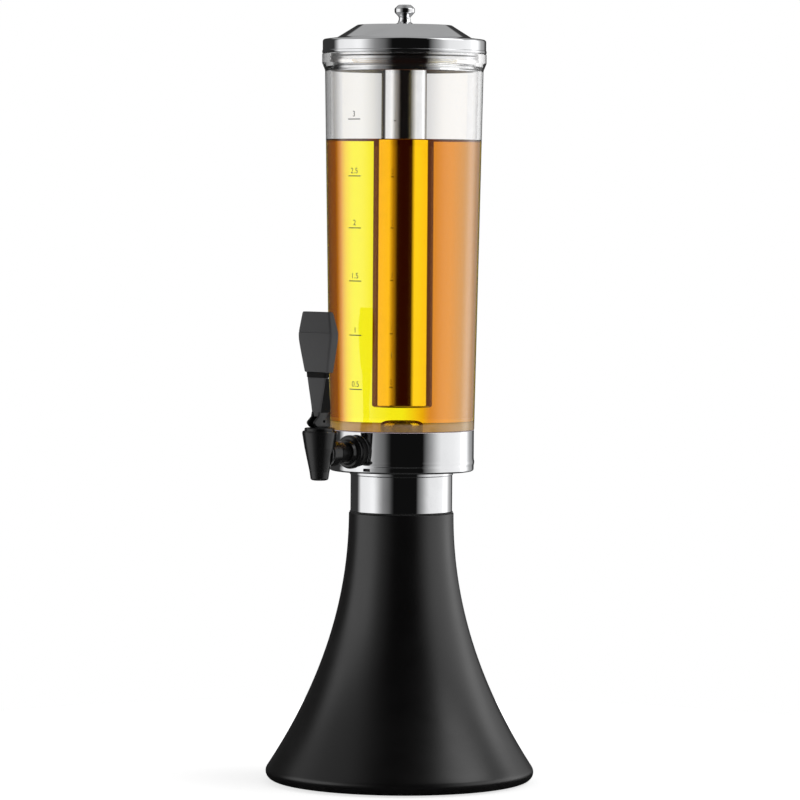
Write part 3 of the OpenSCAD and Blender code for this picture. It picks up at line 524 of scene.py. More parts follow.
# ---- Collar ----
# A deep-drawn stainless cup around the barrel's foot, mirror polished outside and dull inside.
# One bead is pressed in low down.
COLLAR_R, COLLAR_TOP, COLLAR_WALL, BEAD_Z, BEAD_HALF, BEAD_OUT = 60.7, 296.5, 1.0, 269.5, 3.5, 0.25


def paint(mesh, material, where):
    """Gives a material to the faces that where(r, z, normal) picks, with r and z in mm."""
    mesh.materials.append(material)
    for face in mesh.polygons:
        if where(face.center.xy.length / MM, face.center.z / MM, face.normal):
            face.material_index = len(mesh.materials) - 1


collar = fillet((HOLE_R, COLLAR_Z), (COLLAR_R, COLLAR_Z, 4.0), (COLLAR_R, BEAD_Z - BEAD_HALF), steps=12)
for k in range(17):
    rise = -1 + 2 * k / 16
    collar.append((COLLAR_R + BEAD_OUT * (1 + cos(pi * rise)), BEAD_Z + BEAD_HALF * rise, 0.0))
collar += fillet((COLLAR_R, BEAD_Z + BEAD_HALF), (COLLAR_R, COLLAR_TOP, 0.4),
    (COLLAR_R - COLLAR_WALL, COLLAR_TOP, 0.3), (COLLAR_R - COLLAR_WALL, COLLAR_Z + COLLAR_WALL, 3.0),
    (HOLE_R, COLLAR_Z + COLLAR_WALL))
collar_mesh = turned("drawn_collar", collar, 288, polished, "polished_steel", "collar_cup")
as_drawn = plated_steel("as_drawn_steel", 16.0, (0.78, 0.76, 0.72), (0.66, 0.64, 0.6), (0.45, 0.6), metallic=0.2)
paint(collar_mesh, as_drawn, lambda r, z, _: r < COLLAR_R - COLLAR_WALL / 2 and z > COLLAR_Z + COLLAR_WALL / 2)

# ---- Barrel ----
# A clear, tapered, injection-moulded beaker. Its foot stands in the collar on a gasket and in a sealing compound.
# The mouth has a thicker lip, and the floor rises in the middle to carry the cap nut.
# The foot and the sealing compound glow faintly with painted light, and a thin black band above the compound is a
# painted shadow line.
SHOULDER_Z, MOUTH_Z, BARREL_FOOT_R, BARREL_MOUTH_R, BARREL_WALL, LIP_R = 296.7, 611.5, 60.9, 66.7, 4.0, 68.9
FOOT_Z, FOOT_OUTER_R, FOOT_INNER_R, FLOOR_Z, STEP_Z, STEP_H, STEP_ROUND = 264.0, 59.5, 53.5, 267.5, 305.7, 9.0, 14.0
BOSS_R, BOSS_Z, LEVEL_Z = 14.0, 292.0, 539.0


def barrel_r(z):
    """Outside radius of the tapered barrel at height z, in mm."""
    return BARREL_FOOT_R + (BARREL_MOUTH_R - BARREL_FOOT_R) * (z - SHOULDER_Z) / (MOUTH_Z - SHOULDER_Z)


def clear_plastic(name, seed, ior=1.49, **fixed):
    """Clear moulded plastic with barely visible flow lines."""
    return surface(name, seed, (9.0, 240.0), None, (0.0, 0.012), (0.12, 0.00004), ("Smudges",) * 3, IOR=ior,
        Base_Color=rgba(1.0), Transmission_Weight=1.0, **fixed)


# The barrel's foot, below about 303 mm, glows faintly pink in soft clouds: painted light, not a lamp.
clear = clear_plastic("clear_plastic", 7.0, Emission_Strength=1.0, Coat_Weight=0.9)
tree = clear.node_tree
where = add(tree, "TexCoord")["Object"]
up = add(tree, "SeparateXYZ", {0: where})["Z"]
cloud = add(tree, "TexNoise", {"Vector": where, "Scale": 70.0, "Detail": 3.0})["Fac"]
painted_foot_glow = maths(tree, "MULTIPLY", ranged(tree, up, 0.3042, 0.3026, smooth=True),
    ranged(tree, cloud, 0.35, 0.65, 0.03, 0.1))
settle(clear, Emission_Color=blend(tree, painted_foot_glow, 0, (1.0, 0.82, 0.85)))
barrel = fillet(
    (12.0, FOOT_Z, 0.4), (FOOT_OUTER_R, FOOT_Z, 2.4), (FOOT_OUTER_R, SHOULDER_Z, 0.3),
    (BARREL_FOOT_R, SHOULDER_Z, 0.5), (barrel_r(597.5), 597.5, 6.0), (LIP_R, 603.5, 1.6), (LIP_R, MOUTH_Z, 1.0),
    (BARREL_MOUTH_R - BARREL_WALL, MOUTH_Z, 0.9), (barrel_r(STEP_Z) - BARREL_WALL, STEP_Z, STEP_ROUND),
    (FOOT_INNER_R, STEP_Z - STEP_H, STEP_ROUND), (FOOT_INNER_R, FLOOR_Z, 2.4), (BOSS_R + 2, FLOOR_Z, 2.0),
    (BOSS_R, BOSS_Z, 1.0), (HOLE_R, BOSS_Z, 0.3), (HOLE_R, BOSS_Z - 4, 0.3), (10.0, BOSS_Z - 4, 1.0), steps=8)
barrel_mesh = turned("clear_barrel", barrel, 288, clear, "clear_plastic", "barrel")
silicone = soft_rubber("white_silicone", 8.0, (0.72, 0.72, 0.7), (0.6, 0.6, 0.57), 0.45)
# A pale sealant whose pinkish emission is painted light. Its pale colour is its own.
sealant_with_painted_glow = soft_rubber("sealing_compound_painted_glow", 8.5, (0.72, 0.72, 0.7), (0.6, 0.6, 0.57), 0.45,
    Emission_Color=(1.0, 0.78, 0.9, 1), Emission_Strength=0.27)
paint(barrel_mesh, clear_plastic("wetted_plastic", 8.0, Specular_Tint=rgba(0.0)), lambda r, z, _: (
    r < barrel_r(max(z, SHOULDER_Z)) - BARREL_WALL + 1.0 and FLOOR_Z - 0.5 < z < LEVEL_Z))
# Below the shoulder the foot's outside gets the glowing sealant, which is painted light. On the shoulder's rounding a
# black band is a painted shadow line at the joint with the collar.
for finish, low, high in ((sealant_with_painted_glow, 0.0, SHOULDER_Z + 0.05), (black_rubber, SHOULDER_Z + 0.05, SHOULDER_Z + 0.55)):
    paint(barrel_mesh, finish, lambda r, z, _: r > 57.0 and low <= z < high)
turned("foot_gasket", washer(24.0, 54.5, 263.0, FOOT_Z, 0.3, 0.3), 96, silicone, "white_silicone", "barrel_gasket")

# ---- Cap nut ----
# A low, round stainless nut on a soft washer, on the raised middle of the floor, with two flats for a spanner.
# It closes the tie rod's end and shows as a dark oval through the clear foot.
CAP_Z, CAP_SIDE, CAP_TOP, CAP_R, CAP_FLATS, CAP_BORE, CAP_BORE_H = 294.0, 299.0, 304.5, 13.5, 24.0, 4.9, 8.0
turned("floor_seal", washer(HOLE_R, 12.0, BOSS_Z, CAP_Z, 0.3, 0.5), 64, silicone, "white_silicone", "floor_washer")
cap_steel = plated_steel("cap_nut_steel", 9.0, 0.5, 0.4, (0.14, 0.24))
cap = fillet((CAP_BORE, CAP_Z), (CAP_R, CAP_Z, 0.5), (CAP_R, CAP_SIDE))
for k in range(1, 19):
    turn = pi / 2 * k / 18
    cap.append((CAP_R / 2 * (1 + cos(turn)), CAP_SIDE + (CAP_TOP - CAP_SIDE) * sin(turn), 0.0))
cap += [(0, CAP_TOP), (0, CAP_Z + CAP_BORE_H), (CAP_BORE, CAP_Z + CAP_BORE_H)]
cap_nut = tidy_mesh(lathe_mesh(cap, 96, closed=False))
for turn in (225, 45):
    off = block_mesh(*((-20, CAP_FLATS / 2, 20, 20, z) for z in (CAP_Z - 1, CAP_TOP + 1)))
    off.transform(Matrix.Rotation(radians(turn), 4, "Z"))
    cap_nut = cut(cap_nut, off)
fit("round_cap_nut", tidy_mesh(cap_nut, sharp=20), cap_steel, "plain_steel", "floor_cap_nut")

# ---- Drink ----
# Clear golden beer up to its level, with a meniscus at the wall and at the tube.
# Its skin lies a little inside the plastic, so that light bends as from plastic into liquid.
TUBE_R, TUBE_Z, INTO_WALL, RISE_AT_WALL = 18.9, 316.0, 0.15, 0.9
drink = surface("golden_beer", 10.0, (9.0, 300.0), Base_Color=rgba(1.0), Transmission_Weight=1.0, Roughness=0.0,
    IOR=1.333, Specular_Tint=rgba(0.0))
tree = drink.node_tree
gold = add(tree, "VolumeAbsorption", {"Color": (0.9884, 0.889, 0.022, 1), "Density": 45.0})[0]
feed(tree, tree.nodes["Material Output"], {"Volume": gold})
beer = [(0, BOSS_Z + 1.0), (BOSS_R - INTO_WALL, BOSS_Z + 1.0), (BOSS_R - INTO_WALL, BOSS_Z - 1.5),
        (15.6 - INTO_WALL, FLOOR_Z + 2.0), (18.0, FLOOR_Z - INTO_WALL), (FOOT_INNER_R - 2.4, FLOOR_Z - INTO_WALL),
        (FOOT_INNER_R - 0.6, FLOOR_Z + 0.6), (FOOT_INNER_R + INTO_WALL, FLOOR_Z + 2.4)]
step = fillet((FOOT_INNER_R, FLOOR_Z + 3), (FOOT_INNER_R, STEP_Z - STEP_H, STEP_ROUND),
    (barrel_r(STEP_Z) - BARREL_WALL, STEP_Z, STEP_ROUND), (barrel_r(STEP_Z + 16) - BARREL_WALL, STEP_Z + 16), steps=8)
beer += [(r + INTO_WALL, z) for r, z, _ in step[1:-1]]
for k in range(1, 21):
    z = STEP_Z + 6.0 + (LEVEL_Z + RISE_AT_WALL - STEP_Z - 6.0) * k / 20
    beer.append((barrel_r(z) - BARREL_WALL + INTO_WALL, z))
meniscus = ((0.25, 0.75), (0.7, 0.42), (1.4, 0.16), (2.4, 0.04), (4.0, 0.0))
beer += [(barrel_r(LEVEL_Z) - BARREL_WALL - away, LEVEL_Z + rise) for away, rise in meniscus]
beer += [(TUBE_R + away, LEVEL_Z + rise) for away, rise in meniscus[::-1]]
beer += [(TUBE_R - 0.3, LEVEL_Z + RISE_AT_WALL), (TUBE_R - 0.3, TUBE_Z + 2.4), (TUBE_R - 2.4, TUBE_Z + 0.4),
    (0, TUBE_Z + 0.4)]
turned("golden_beer", beer, 288, drink, "drink", sharp=60)

# ---- Volume marks ----
# A grey screen print on the barrel above the tap.
# It has one line and one number for each half litre.
MARK_HALF_W, MARK_H, NUMBER_H, NUMBER_GAP, MARK_TURN, INK_H, MARK_STEPS = 6.5, 0.8, 4.6, 2.2, 2.0, 0.06, 12
MARKS = ((3, 556.0), (2.5, 509.0), (2, 466.0), (1.5, 422.0), (1, 377.0), (0.5, 332.0))
print_ink = surface("grey_screen_print", 11.0, (120.0, 2500.0), (0.1, 0.16), (0.45, 0.6),
    masks=("Smudges", "Grain", "Grain"))


def print_on_barrel(x, z):
    """A point of the print, x mm beside its middle and at height z."""
    r = barrel_r(z) + INK_H
    angle = radians(-90 + MARK_TURN) + x / r
    return (r * cos(angle) * MM, r * sin(angle) * MM, z * MM)


verts, faces = [], []
for litres, z in MARKS:
    start = len(verts)
    for k in range(MARK_STEPS + 1):
        x = -MARK_HALF_W + 2 * MARK_HALF_W * k / MARK_STEPS
        verts += [print_on_barrel(x, z - MARK_H / 2), print_on_barrel(x, z + MARK_H / 2)]
    faces += [(k, k + 2, k + 3, k + 1) for k in range(start, start + 2 * MARK_STEPS, 2)]
    words = bpy.data.curves.new("number", "FONT")
    words.body, words.size, words.align_x = f"{litres:g}", NUMBER_H / 0.7, "CENTER"
    flat = baked(linked("number", words))
    start = len(verts)
    verts += [print_on_barrel(v.co.x, z + NUMBER_GAP + v.co.y) for v in flat.vertices]
    faces += [tuple(start + i for i in f.vertices) for f in flat.polygons]
marks = bpy.data.meshes.new("volume_marks")
marks.from_pydata(verts, [], faces)
fit("volume_marks", marks, print_ink, "scale_print")

# ---- Ice tube ----
# A closed, polished stainless tube, welded to a shallow dish whose rim hangs in the barrel's mouth.
# Two beads pressed into the dish's wall hold a clear gasket.
TUBE_WALL, TUBE_TOP, DISH_TOP, DISH_FLOOR, DISH_R, DISH_RIM_R = 0.8, 599.0, 612.3, 597.3, 61.4, 66.6
DISH_INNER_R, DISH_WALL_Z, DISH_WALL_TOP, BEADS = DISH_R - TUBE_WALL, 599.5, 610.5, (608.05, 601.55)
tube_steel = mirror_polish("polished_tube", 12.0, 0.93, 0.88, (0.03, 0.06))
turned("polished_ice_tube", fillet(
    (0, TUBE_Z), (TUBE_R, TUBE_Z, 2.0), (TUBE_R, TUBE_TOP, 0.3), (TUBE_R - TUBE_WALL, TUBE_TOP, 0.3),
    (TUBE_R - TUBE_WALL, TUBE_Z + TUBE_WALL, 1.4), (0, TUBE_Z + TUBE_WALL)), 192, tube_steel, "polished_steel",
    "ice_tube", body="ice_insert")


def dish_wall(offset):
    """The dish's wall from its rim down, with the two beads, moved outwards by offset."""
    line = []
    for k in range(61):
        z = DISH_WALL_TOP - (DISH_WALL_TOP - DISH_WALL_Z) * k / 60
        push = sum(exp(-((z - bead) / 0.95) ** 2) for bead in BEADS)
        line.append((DISH_INNER_R + 0.75 * push + offset, z))
    return line


dish = fillet((DISH_RIM_R, DISH_TOP - TUBE_WALL), (DISH_RIM_R, DISH_TOP, 0.3), (DISH_INNER_R, DISH_TOP, 0.8),
    (DISH_INNER_R, DISH_WALL_TOP + 0.1))
dish += dish_wall(0.0)
dish += fillet((DISH_INNER_R, DISH_WALL_Z - 0.1), (DISH_INNER_R, DISH_FLOOR, 1.4), (TUBE_R, DISH_FLOOR),
    (TUBE_R, DISH_FLOOR - TUBE_WALL), (DISH_R, DISH_FLOOR - TUBE_WALL, 2.0), (DISH_R, DISH_WALL_Z - 0.1))
dish += dish_wall(TUBE_WALL)[::-1] + [(DISH_R, DISH_TOP - TUBE_WALL)]
turned("polished_dish", dish, 256, polished, "polished_steel", "ice_tube_dish", body="ice_insert")
turned("dish_seal", washer(61.65, 62.3, 603.8, 605.8, 0.3, 0.3), 160, clear_plastic("clear_silicone", 13.0, 1.41),
    "white_silicone", "dish_gasket", body="ice_insert")

# ---- Lid ----
# A spun stainless shell with a rolled hem, an upright band, a low cone and a flat top, mirror polished.
# A soft ring inside the hem sits on the dish, and a knob is screwed on from below.
LID_R, LID_Z, BAND_TOP, CONE_Z, LID_TOP, LID_WALL, HEM_OUT = 68.5, 611.8, 623.3, 624.8, 635.4, 0.8, 0.4
CONE_R, FLAT_R, KNOB_HOLE_R, KNOB_WASHER_Z = 56.5, 39.5, 2.1, 633.6
turned("spun_lid", fillet(
    (LID_R - LID_WALL, LID_Z, 0.2), (LID_R + HEM_OUT, LID_Z, 0.35), (LID_R + HEM_OUT, LID_Z + 2.0, 0.45),
    (LID_R, LID_Z + 2.3, 0.25), (LID_R, BAND_TOP, 2.3), (CONE_R, CONE_Z, 2.0), (FLAT_R, LID_TOP, 1.2),
    (KNOB_HOLE_R, LID_TOP), (KNOB_HOLE_R, LID_TOP - LID_WALL), (FLAT_R - 0.2, LID_TOP - LID_WALL, 0.9),
    (CONE_R - 0.2, CONE_Z - LID_WALL, 2.4), (LID_R - LID_WALL, BAND_TOP - LID_WALL, 1.6), steps=10), 288, polished,
    "polished_steel", "lid_shell", body="lid")
turned("lid_ring", washer(62.9, 67.6, DISH_TOP, 614.7, 0.5, 0.5), 160, silicone, "white_silicone",
    "lid_seal_ring", body="lid")
knob = fillet(*[(r, LID_TOP + up, *rounding) for r, up, *rounding in (
    (0, 0), (9.1, 0, 0.3), (9.0, 0.6, 0.5), (5.6, 2.0, 2.0), (4.5, 6.4, 3.0), (8.5, 10.6, 1.6), (8.6, 13.8, 1.8),
    (5.2, 17.0, 3.0), (0, 17.3))], steps=8)
turned("turned_knob", knob, 96, polished, "polished_steel", "lid_knob", body="lid")
turned("knob_washer_disc", washer(KNOB_HOLE_R, 6.0, KNOB_WASHER_Z, KNOB_WASHER_Z + 1, 0.1, 0.25), 48, zinc,
    "plain_steel", "knob_washer", body="lid")
fit("knob_fixing", screw_mesh(2.0, 10.4, 4.0, SCREW_HEAD_H, Matrix.Translation((0, 0, KNOB_WASHER_Z * MM))), zinc,
    "plain_steel", "knob_screw", body="lid")

# ---- Tap body ----
# Black acetal: a tapering body that ends in the spout, a hub and a threaded shank in one, closed by a bonnet.
# A round nut, a lock nut and two saddle washers hold it in the barrel.
TAP_Y, SHANK_Z, SHANK_R, SHANK_HOLE_R, BORE_R, BODY_TOP, SPOUT_Z = -103.0, 280.0, 8.0, 8.1, 4.5, 299.0, 258.0
FLANGE_FACE, LOCK_FACE, STEM_HOLE_R, BONNET_TOP, SPRING_SEAT_Z = 63.2, 50.5, 2.55, 301.5, 297.0
AT_TAP = Matrix.Translation((0, TAP_Y * MM, 0))
OUTWARD = Matrix.Translation((0, 0, SHANK_Z * MM)) @ Matrix.Rotation(pi / 2, 4, "X")
tap_black = satin_black("glossy_black_tap", 14.0, (0.006, 0.006, 0.0062), 0.02, (0.2, 0.3), 2200.0, 0.00003)


def joined(*meshes):
    """Several meshes as one."""
    work = bmesh.new()
    for each in meshes:
        work.from_mesh(each)
    whole = bpy.data.meshes.new("whole")
    work.to_mesh(whole)
    work.free()
    return whole


body = fillet(
    (4.0, SPOUT_Z + 0.5, 0.3), (4.7, SPOUT_Z, 0.5), (7.3, SPOUT_Z + 0.6, 2.2), (8.2, SPOUT_Z + 7, 3.0),
    (12.5, BODY_TOP - 14, 6.0), (14.3, BODY_TOP - 3.4, 1.2), (14.6, BODY_TOP - 1.6, 1.0), (14.0, BODY_TOP, 0.8),
    (12.2, BODY_TOP), (12.2, BODY_TOP - 0.8), (9.1, BODY_TOP - 0.8), (9.1, BODY_TOP - 5), (6.5, BODY_TOP - 5),
    (6.5, 273.5), (4.0, 270.0), steps=8)
hub = fillet((BORE_R, 79.0), (9.6, 79.0), (10.2, 84.5, 0.6), (11.0, 86.2, 0.8), (11.0, 95.5, 2.0),
    (12.4, 99.0, 2.5), (12.4, 100.2), (BORE_R, 100.2), steps=8)
shank = [(BORE_R, 43.1), (7.2, 43.1)]
z = 43.6
while z < 70:
    shank += [(SHANK_R, z + 0.4), (SHANK_R - 0.7, z + 1.1)]
    z += 1.5
shank += [(SHANK_R, 72.0), (SHANK_R, 86.0), (BORE_R, 86.0)]
tap_mesh = joined(tidy_mesh(lathe_mesh(body, 112, place=AT_TAP)), tidy_mesh(lathe_mesh(hub, 96, place=OUTWARD)),
    tidy_mesh(lathe_mesh(shank, 64, place=OUTWARD), sharp=60))
fit("moulded_tap_body", shade(tap_mesh, 50), tap_black, "black_gloss", "tap_body")
turned("round_flange_nut", fillet(
    (SHANK_HOLE_R, FLANGE_FACE), (14.0, FLANGE_FACE, 0.5), (14.0, 66.6, 1.4), (12.6, 68.2, 1.0), (10.4, 68.7, 0.8),
    (9.6, 72.0, 0.8), (SHANK_HOLE_R, 72.0), steps=8), 96, tap_black, "black_gloss", "tap_flange_nut", place=OUTWARD)
turned("tap_bonnet_cap", fillet(
    (STEM_HOLE_R, BONNET_TOP, 0.2), (12.6, BONNET_TOP, 0.9), (12.6, BODY_TOP), (9.0, BODY_TOP),
    (9.0, SPRING_SEAT_Z - 2), (4.8, SPRING_SEAT_Z - 2), (4.8, SPRING_SEAT_Z), (STEM_HOLE_R, SPRING_SEAT_Z)), 96,
    tap_black, "black_gloss", "tap_bonnet", place=AT_TAP)
lock_nut = hex_mesh(20.0, 45.5, LOCK_FACE, SHANK_R + 0.05)
lock_nut.transform(OUTWARD)
fit("shank_lock_nut", lock_nut, tap_black, "black_gloss", "tap_lock_nut")


def saddle_mesh(outer_r, near, far):
    """A washer on the shank. Each face is flat, or curved like a barrel of (radius,)."""
    rows = []
    for r, face in ((SHANK_HOLE_R, near), (outer_r, near), (outer_r, far), (SHANK_HOLE_R, far)):
        row = []
        for k in range(72):
            x, up = r * cos(tau * k / 72), r * sin(tau * k / 72)
            reach = sqrt(face[0] ** 2 - x * x) if isinstance(face, tuple) else face
            row.append((x, -reach, SHANK_Z + up))
        rows.append(row)
    return tidy_mesh(skin(rows, closed=True))


fit("outer_saddle_washer", saddle_mesh(13.0, (60.8,), FLANGE_FACE), black_rubber, "black_rubber", "tap_outer_washer")
fit("inner_saddle_washer", saddle_mesh(10.3, LOCK_FACE, (53.4,)), silicone, "white_silicone", "tap_inner_washer")

# ---- Valve ----
# A steel stem with a soft cone, pushed shut by a coiled spring whose end turns lie close.
# Stem and seals are hidden in the tap, so the solids of the source show, each in its finish.
COIL_R, WIRE_R, COIL_LOW, COIL_HIGH, COIL_TURNS, COIL_STEPS, WIRE_SIDES = 4.2, 0.4, 288.5, 296.5, 4, 112, 10
for node_name, finish in (("valve_seal", silicone), ("valve_stem", cap_steel), ("bonnet_seal", silicone)):
    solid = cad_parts[node_name]
    solid.data.materials.clear()
    solid.data.materials.append(finish)
rows = []
for i in range(COIL_STEPS + 1):
    share = i / COIL_STEPS
    turn = tau * COIL_TURNS * share
    rise = COIL_LOW + (COIL_HIGH - COIL_LOW) * (share - 0.8 * sin(tau * share) / tau)
    rows.append([((COIL_R + r) * cos(turn), (COIL_R + r) * sin(turn), rise + up)
        for r, up, _ in arc(0, 0, WIRE_R, 0, tau, WIRE_SIDES, 0)[:-1]])
coil = skin(rows, capped=True)
coil.transform(AT_TAP)
coil_spring = fit("valve_coil", tidy_mesh(coil), rod_steel, "plain_steel", "valve_spring")
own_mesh(coil_spring)

# ---- Lever ----
# A black moulded arm with a forked cam, which slides on the bonnet and lifts the stem as the lever is pulled.
# The grip is a thicker, dull black paddle pushed over the arm's tang.
PIN_Z, CAM_BASE, CAM_RATE, TILT, TINE_IN, TINE_OUT = 307.0, 5.4, 5.0 / radians(60), 60, 2.7, 4.7
ARM_Y, ARM_BACK, ARM_FOOT, GRIP_Z, GRIP_D, CREASE_H = -2.5, -5.0, 13.0, 36.0, 10.5, 36.9
AT_PIN = Matrix.Translation((0, TAP_Y * MM, PIN_Z * MM))


def plate_mesh(outline, x0, x1, bevel):
    """A flat plate of (y, z) outline between two x, with rounded edges."""
    mesh = tidy_mesh(skin([[(x, y, z) for y, z in outline] for x in (x0, x1)], capped=True))
    work = bmesh.new()
    work.from_mesh(mesh)
    rim = [e for e in work.edges if len(e.link_faces) == 2 and e.calc_face_angle() > radians(50)]
    bmesh.ops.bevel(work, geom=rim, offset=bevel * MM, segments=3, profile=0.5, affect="EDGES", clamp_overlap=True)
    work.to_mesh(mesh)
    work.free()
    return mesh


def loft_mesh(sections):
    """Joins rounded rectangles (z, width, depth, middle_y, rounding), from the bottom up."""
    rows = []
    for z, width, depth, middle, rounding in sections:
        rounding = min(rounding, width / 2 - 0.01, depth / 2 - 0.01)
        half_x, half_y, row = width / 2 - rounding, depth / 2 - rounding, []
        for side_x, side_y, first in ((1, 1, 0), (-1, 1, 90), (-1, -1, 180), (1, -1, 270)):
            start, end = radians(first), radians(first + 90)
            row += [(x, middle + y, z) for x, y, _ in arc(side_x * half_x, side_y * half_y, rounding, start, end, 6, 0)]
        rows.append(row)
    return skin(rows, capped=True)


def cam_point(a):
    """The point of the involute cam that meets the bonnet when the lever tilts by a."""
    height = CAM_BASE + CAM_RATE * a
    return (-height * sin(a) - CAM_RATE * cos(a), -height * cos(a) + CAM_RATE * sin(a))


cam = [(2.0, -CAM_BASE)] + [cam_point(radians(TILT * k / 16)) for k in range(17)]
cam += [(cam[-1][0] + 0.6, cam[-1][1] + 1.2), (-6.0, 4.0), (ARM_BACK, 8.0), (ARM_BACK + ARM_FOOT, 8.0),
        (ARM_BACK + ARM_FOOT, 1 - CAM_BASE), (ARM_BACK + ARM_FOOT - 1, 0.1 - CAM_BASE)]
tines = [plate_mesh(cam, low, high, 0.35) for low, high in ((-TINE_OUT, -TINE_IN), (TINE_IN, TINE_OUT))]
arm = loft_mesh([(height, width, depth, ARM_BACK + depth / 2, min(1.2, depth / 4)) for height, width, depth in (
    (4.1, 9.0, ARM_FOOT - 0.4), (4.5, 9.3, ARM_FOOT), (7.0, 9.4, ARM_FOOT), (11.0, 10.8, ARM_FOOT),
    (13.0, 11.4, 12.4), (20.0, 14.2, 10.1), (28.0, 17.4, 7.6), (35.3, 20.2, 5.2), (35.9, 19.6, 4.5))])
tang = loft_mesh([(34.0, 12.0, 4.0, ARM_Y, 0.5), (65.4, 12.0, 4.0, ARM_Y, 0.5), (66.0, 11.0, 3.0, ARM_Y, 0.5)])
lever_mesh = joined(*tines, tidy_mesh(arm), tidy_mesh(tang))
shade(lever_mesh, 42).transform(AT_PIN)
grip_black = satin_black("dull_black_grip", 15.0, (0.09, 0.09, 0.092), (0.12, 0.12, 0.122), (0.46, 0.56), 1500.0,
    0.00006, 0.15)
# A near-black without shine for the grip's undercut and the arm's sides. This is painted shade, not a finish of its
# own.
painted_shade_black = satin_black("black_painted_shade", 17.0, 0.012, 0.016, (0.5, 0.6), 1500.0, 0.00005, 0.05)
for kept_off in (grip_black, painted_shade_black):  # the tube in the drink mirrors no lever
    tree = kept_off.node_tree
    path = add(tree, "LightPath")
    off_tube = maths(tree, "GREATER_THAN", path["Glossy Depth"], 0.5)
    in_beer = maths(tree, "GREATER_THAN", path["Transmission Depth"], 3.5)
    settle(kept_off, Alpha=maths(tree, "SUBTRACT", 1.0, maths(tree, "MULTIPLY", off_tube, in_beer)))
fit("forked_lever_arm", lever_mesh, grip_black, "black_gloss", "lever_arm", body="lever")
paint(lever_mesh, tap_black, lambda r, z, _: z < PIN_Z + 6.0)
# The arm's sides above the cam are painted near-black: painted shade.
paint(lever_mesh, painted_shade_black, lambda r, z, normal: z >= PIN_Z + 6.0 and abs(normal.x) > 0.93)

grip_back = ARM_Y + GRIP_D / 2
rows = []
for height, width, depth in (
        (0.0, 20.6, 6.0), (0.4, 21.2, 6.4), (4.2, 21.8, 6.4), (4.3, 24.6, 7.6), (4.8, 26.0, 8.5), (9.0, 27.6, 8.9),
        (17.0, 30.8, 9.5), (26.0, 34.4, 10.1), (31.0, 36.2, 10.3), (34.5, 36.6, 10.4), (36.8, 36.5, 10.4),
        (37.1, 36.4, 10.1), (37.7, 36.2, 10.1), (38.0, 36.1, 10.3), (42.0, 34.8, 9.2), (48.0, 32.6, 7.6),
        (52.7, 30.8, 6.4), (53.8, 30.0, 5.7), (54.2, 28.6, 4.6)):
    middle = ARM_Y if height < 4.25 else grip_back - depth / 2
    if height > CREASE_H:
        middle = grip_back - 10.4 + 0.08 * (height - CREASE_H) + depth / 2
        middle += 0.25 if height < CREASE_H + 0.9 else 0
    rows.append((GRIP_Z + height, width, depth, middle, 2.0))
grip_mesh = tidy_mesh(loft_mesh(rows), sharp=30)
grip_mesh.transform(AT_PIN)
fit("paddle_grip", grip_mesh, grip_black, "grip_plastic", "lever_grip", body="lever")
# The lowest 4.5 mm of the grip, its undercut, is painted near-black: painted shade.
paint(grip_mesh, painted_shade_black, lambda r, z, _: z < PIN_Z + GRIP_Z + 4.5)
turned("lever_pin_rod", fillet(
    (0, -TINE_OUT), (1.5, -TINE_OUT, 0.25), (1.5, TINE_OUT, 0.25), (0, TINE_OUT)), 32, cap_steel, "plain_steel",
    "lever_pin", body="lever", place=AT_PIN @ Matrix.Rotation(pi / 2, 4, "Y"))
in_grip = Matrix.Translation((0, (grip_back - 1.4) * MM, (GRIP_Z + 15) * MM)) @ Matrix.Rotation(pi / 2, 4, "X")
fit("grip_fixing", screw_mesh(1.5, 5.4, 2.9, 1.5, AT_PIN @ in_grip), zinc, "plain_steel", "grip_screw", body="lever")

# ---- Studio ----
# A white table, tall white sheets to the right and left and a dark room behind the camera.
# Narrow dark edges behind the sheets draw the outlines on the polished steel.
# Rays that leave through the barrel see painted light instead, set by how many surfaces they crossed. The table shows
# dark in mirrors as a painted reflection.
VIEW_TURN, VIEW_DISTANCE, VIEW_HEIGHT, VIEW_PITCH, VIEW_ROLL = radians(41.0), 3.78, 0.504, radians(2.77), radians(0.4)
FOCAL_PIXELS, FRAME_PIXELS, AXIS_PIXELS, SENSOR = 4500.0, 800.0, 2.0, 36.0
TABLE_R, TABLE_SIDES, BOX_SIZE, BOX_POWER = 0.6, 128, 1.2, 6.0
world = bpy.data.worlds.new("studio")
bpy.context.scene.world = world
world.use_nodes = True
sky = world.node_tree
sky.nodes.clear()
direction = add(sky, "Mapping", {"Vector": add(sky, "TexCoord")["Generated"],
    "Rotation": (0, 0, VIEW_TURN)}, vector_type="TEXTURE")
parts = add(sky, "SeparateXYZ", {0: direction[0]})
forward = maths(sky, "MULTIPLY", parts["Y"], -1.0)
around = ranged(sky, maths(sky, "ARCTAN2", parts["X"], forward), -pi, pi)


def sheets_around(stops, span=180.0, along=around):
    """The studio's light at each turn from the camera, as (degrees, light) stops."""
    made = add(sky, "ValToRGB", {0: along})
    elements = made[0].node.color_ramp.elements
    stop = elements[0]
    elements.remove(elements[1])
    for i, (angle, light) in enumerate(stops):
        if i:
            stop = elements.new(0.5 + angle / span / 2)
        stop.position, stop.color = 0.5 + angle / span / 2, rgba(light)
    return made[0]


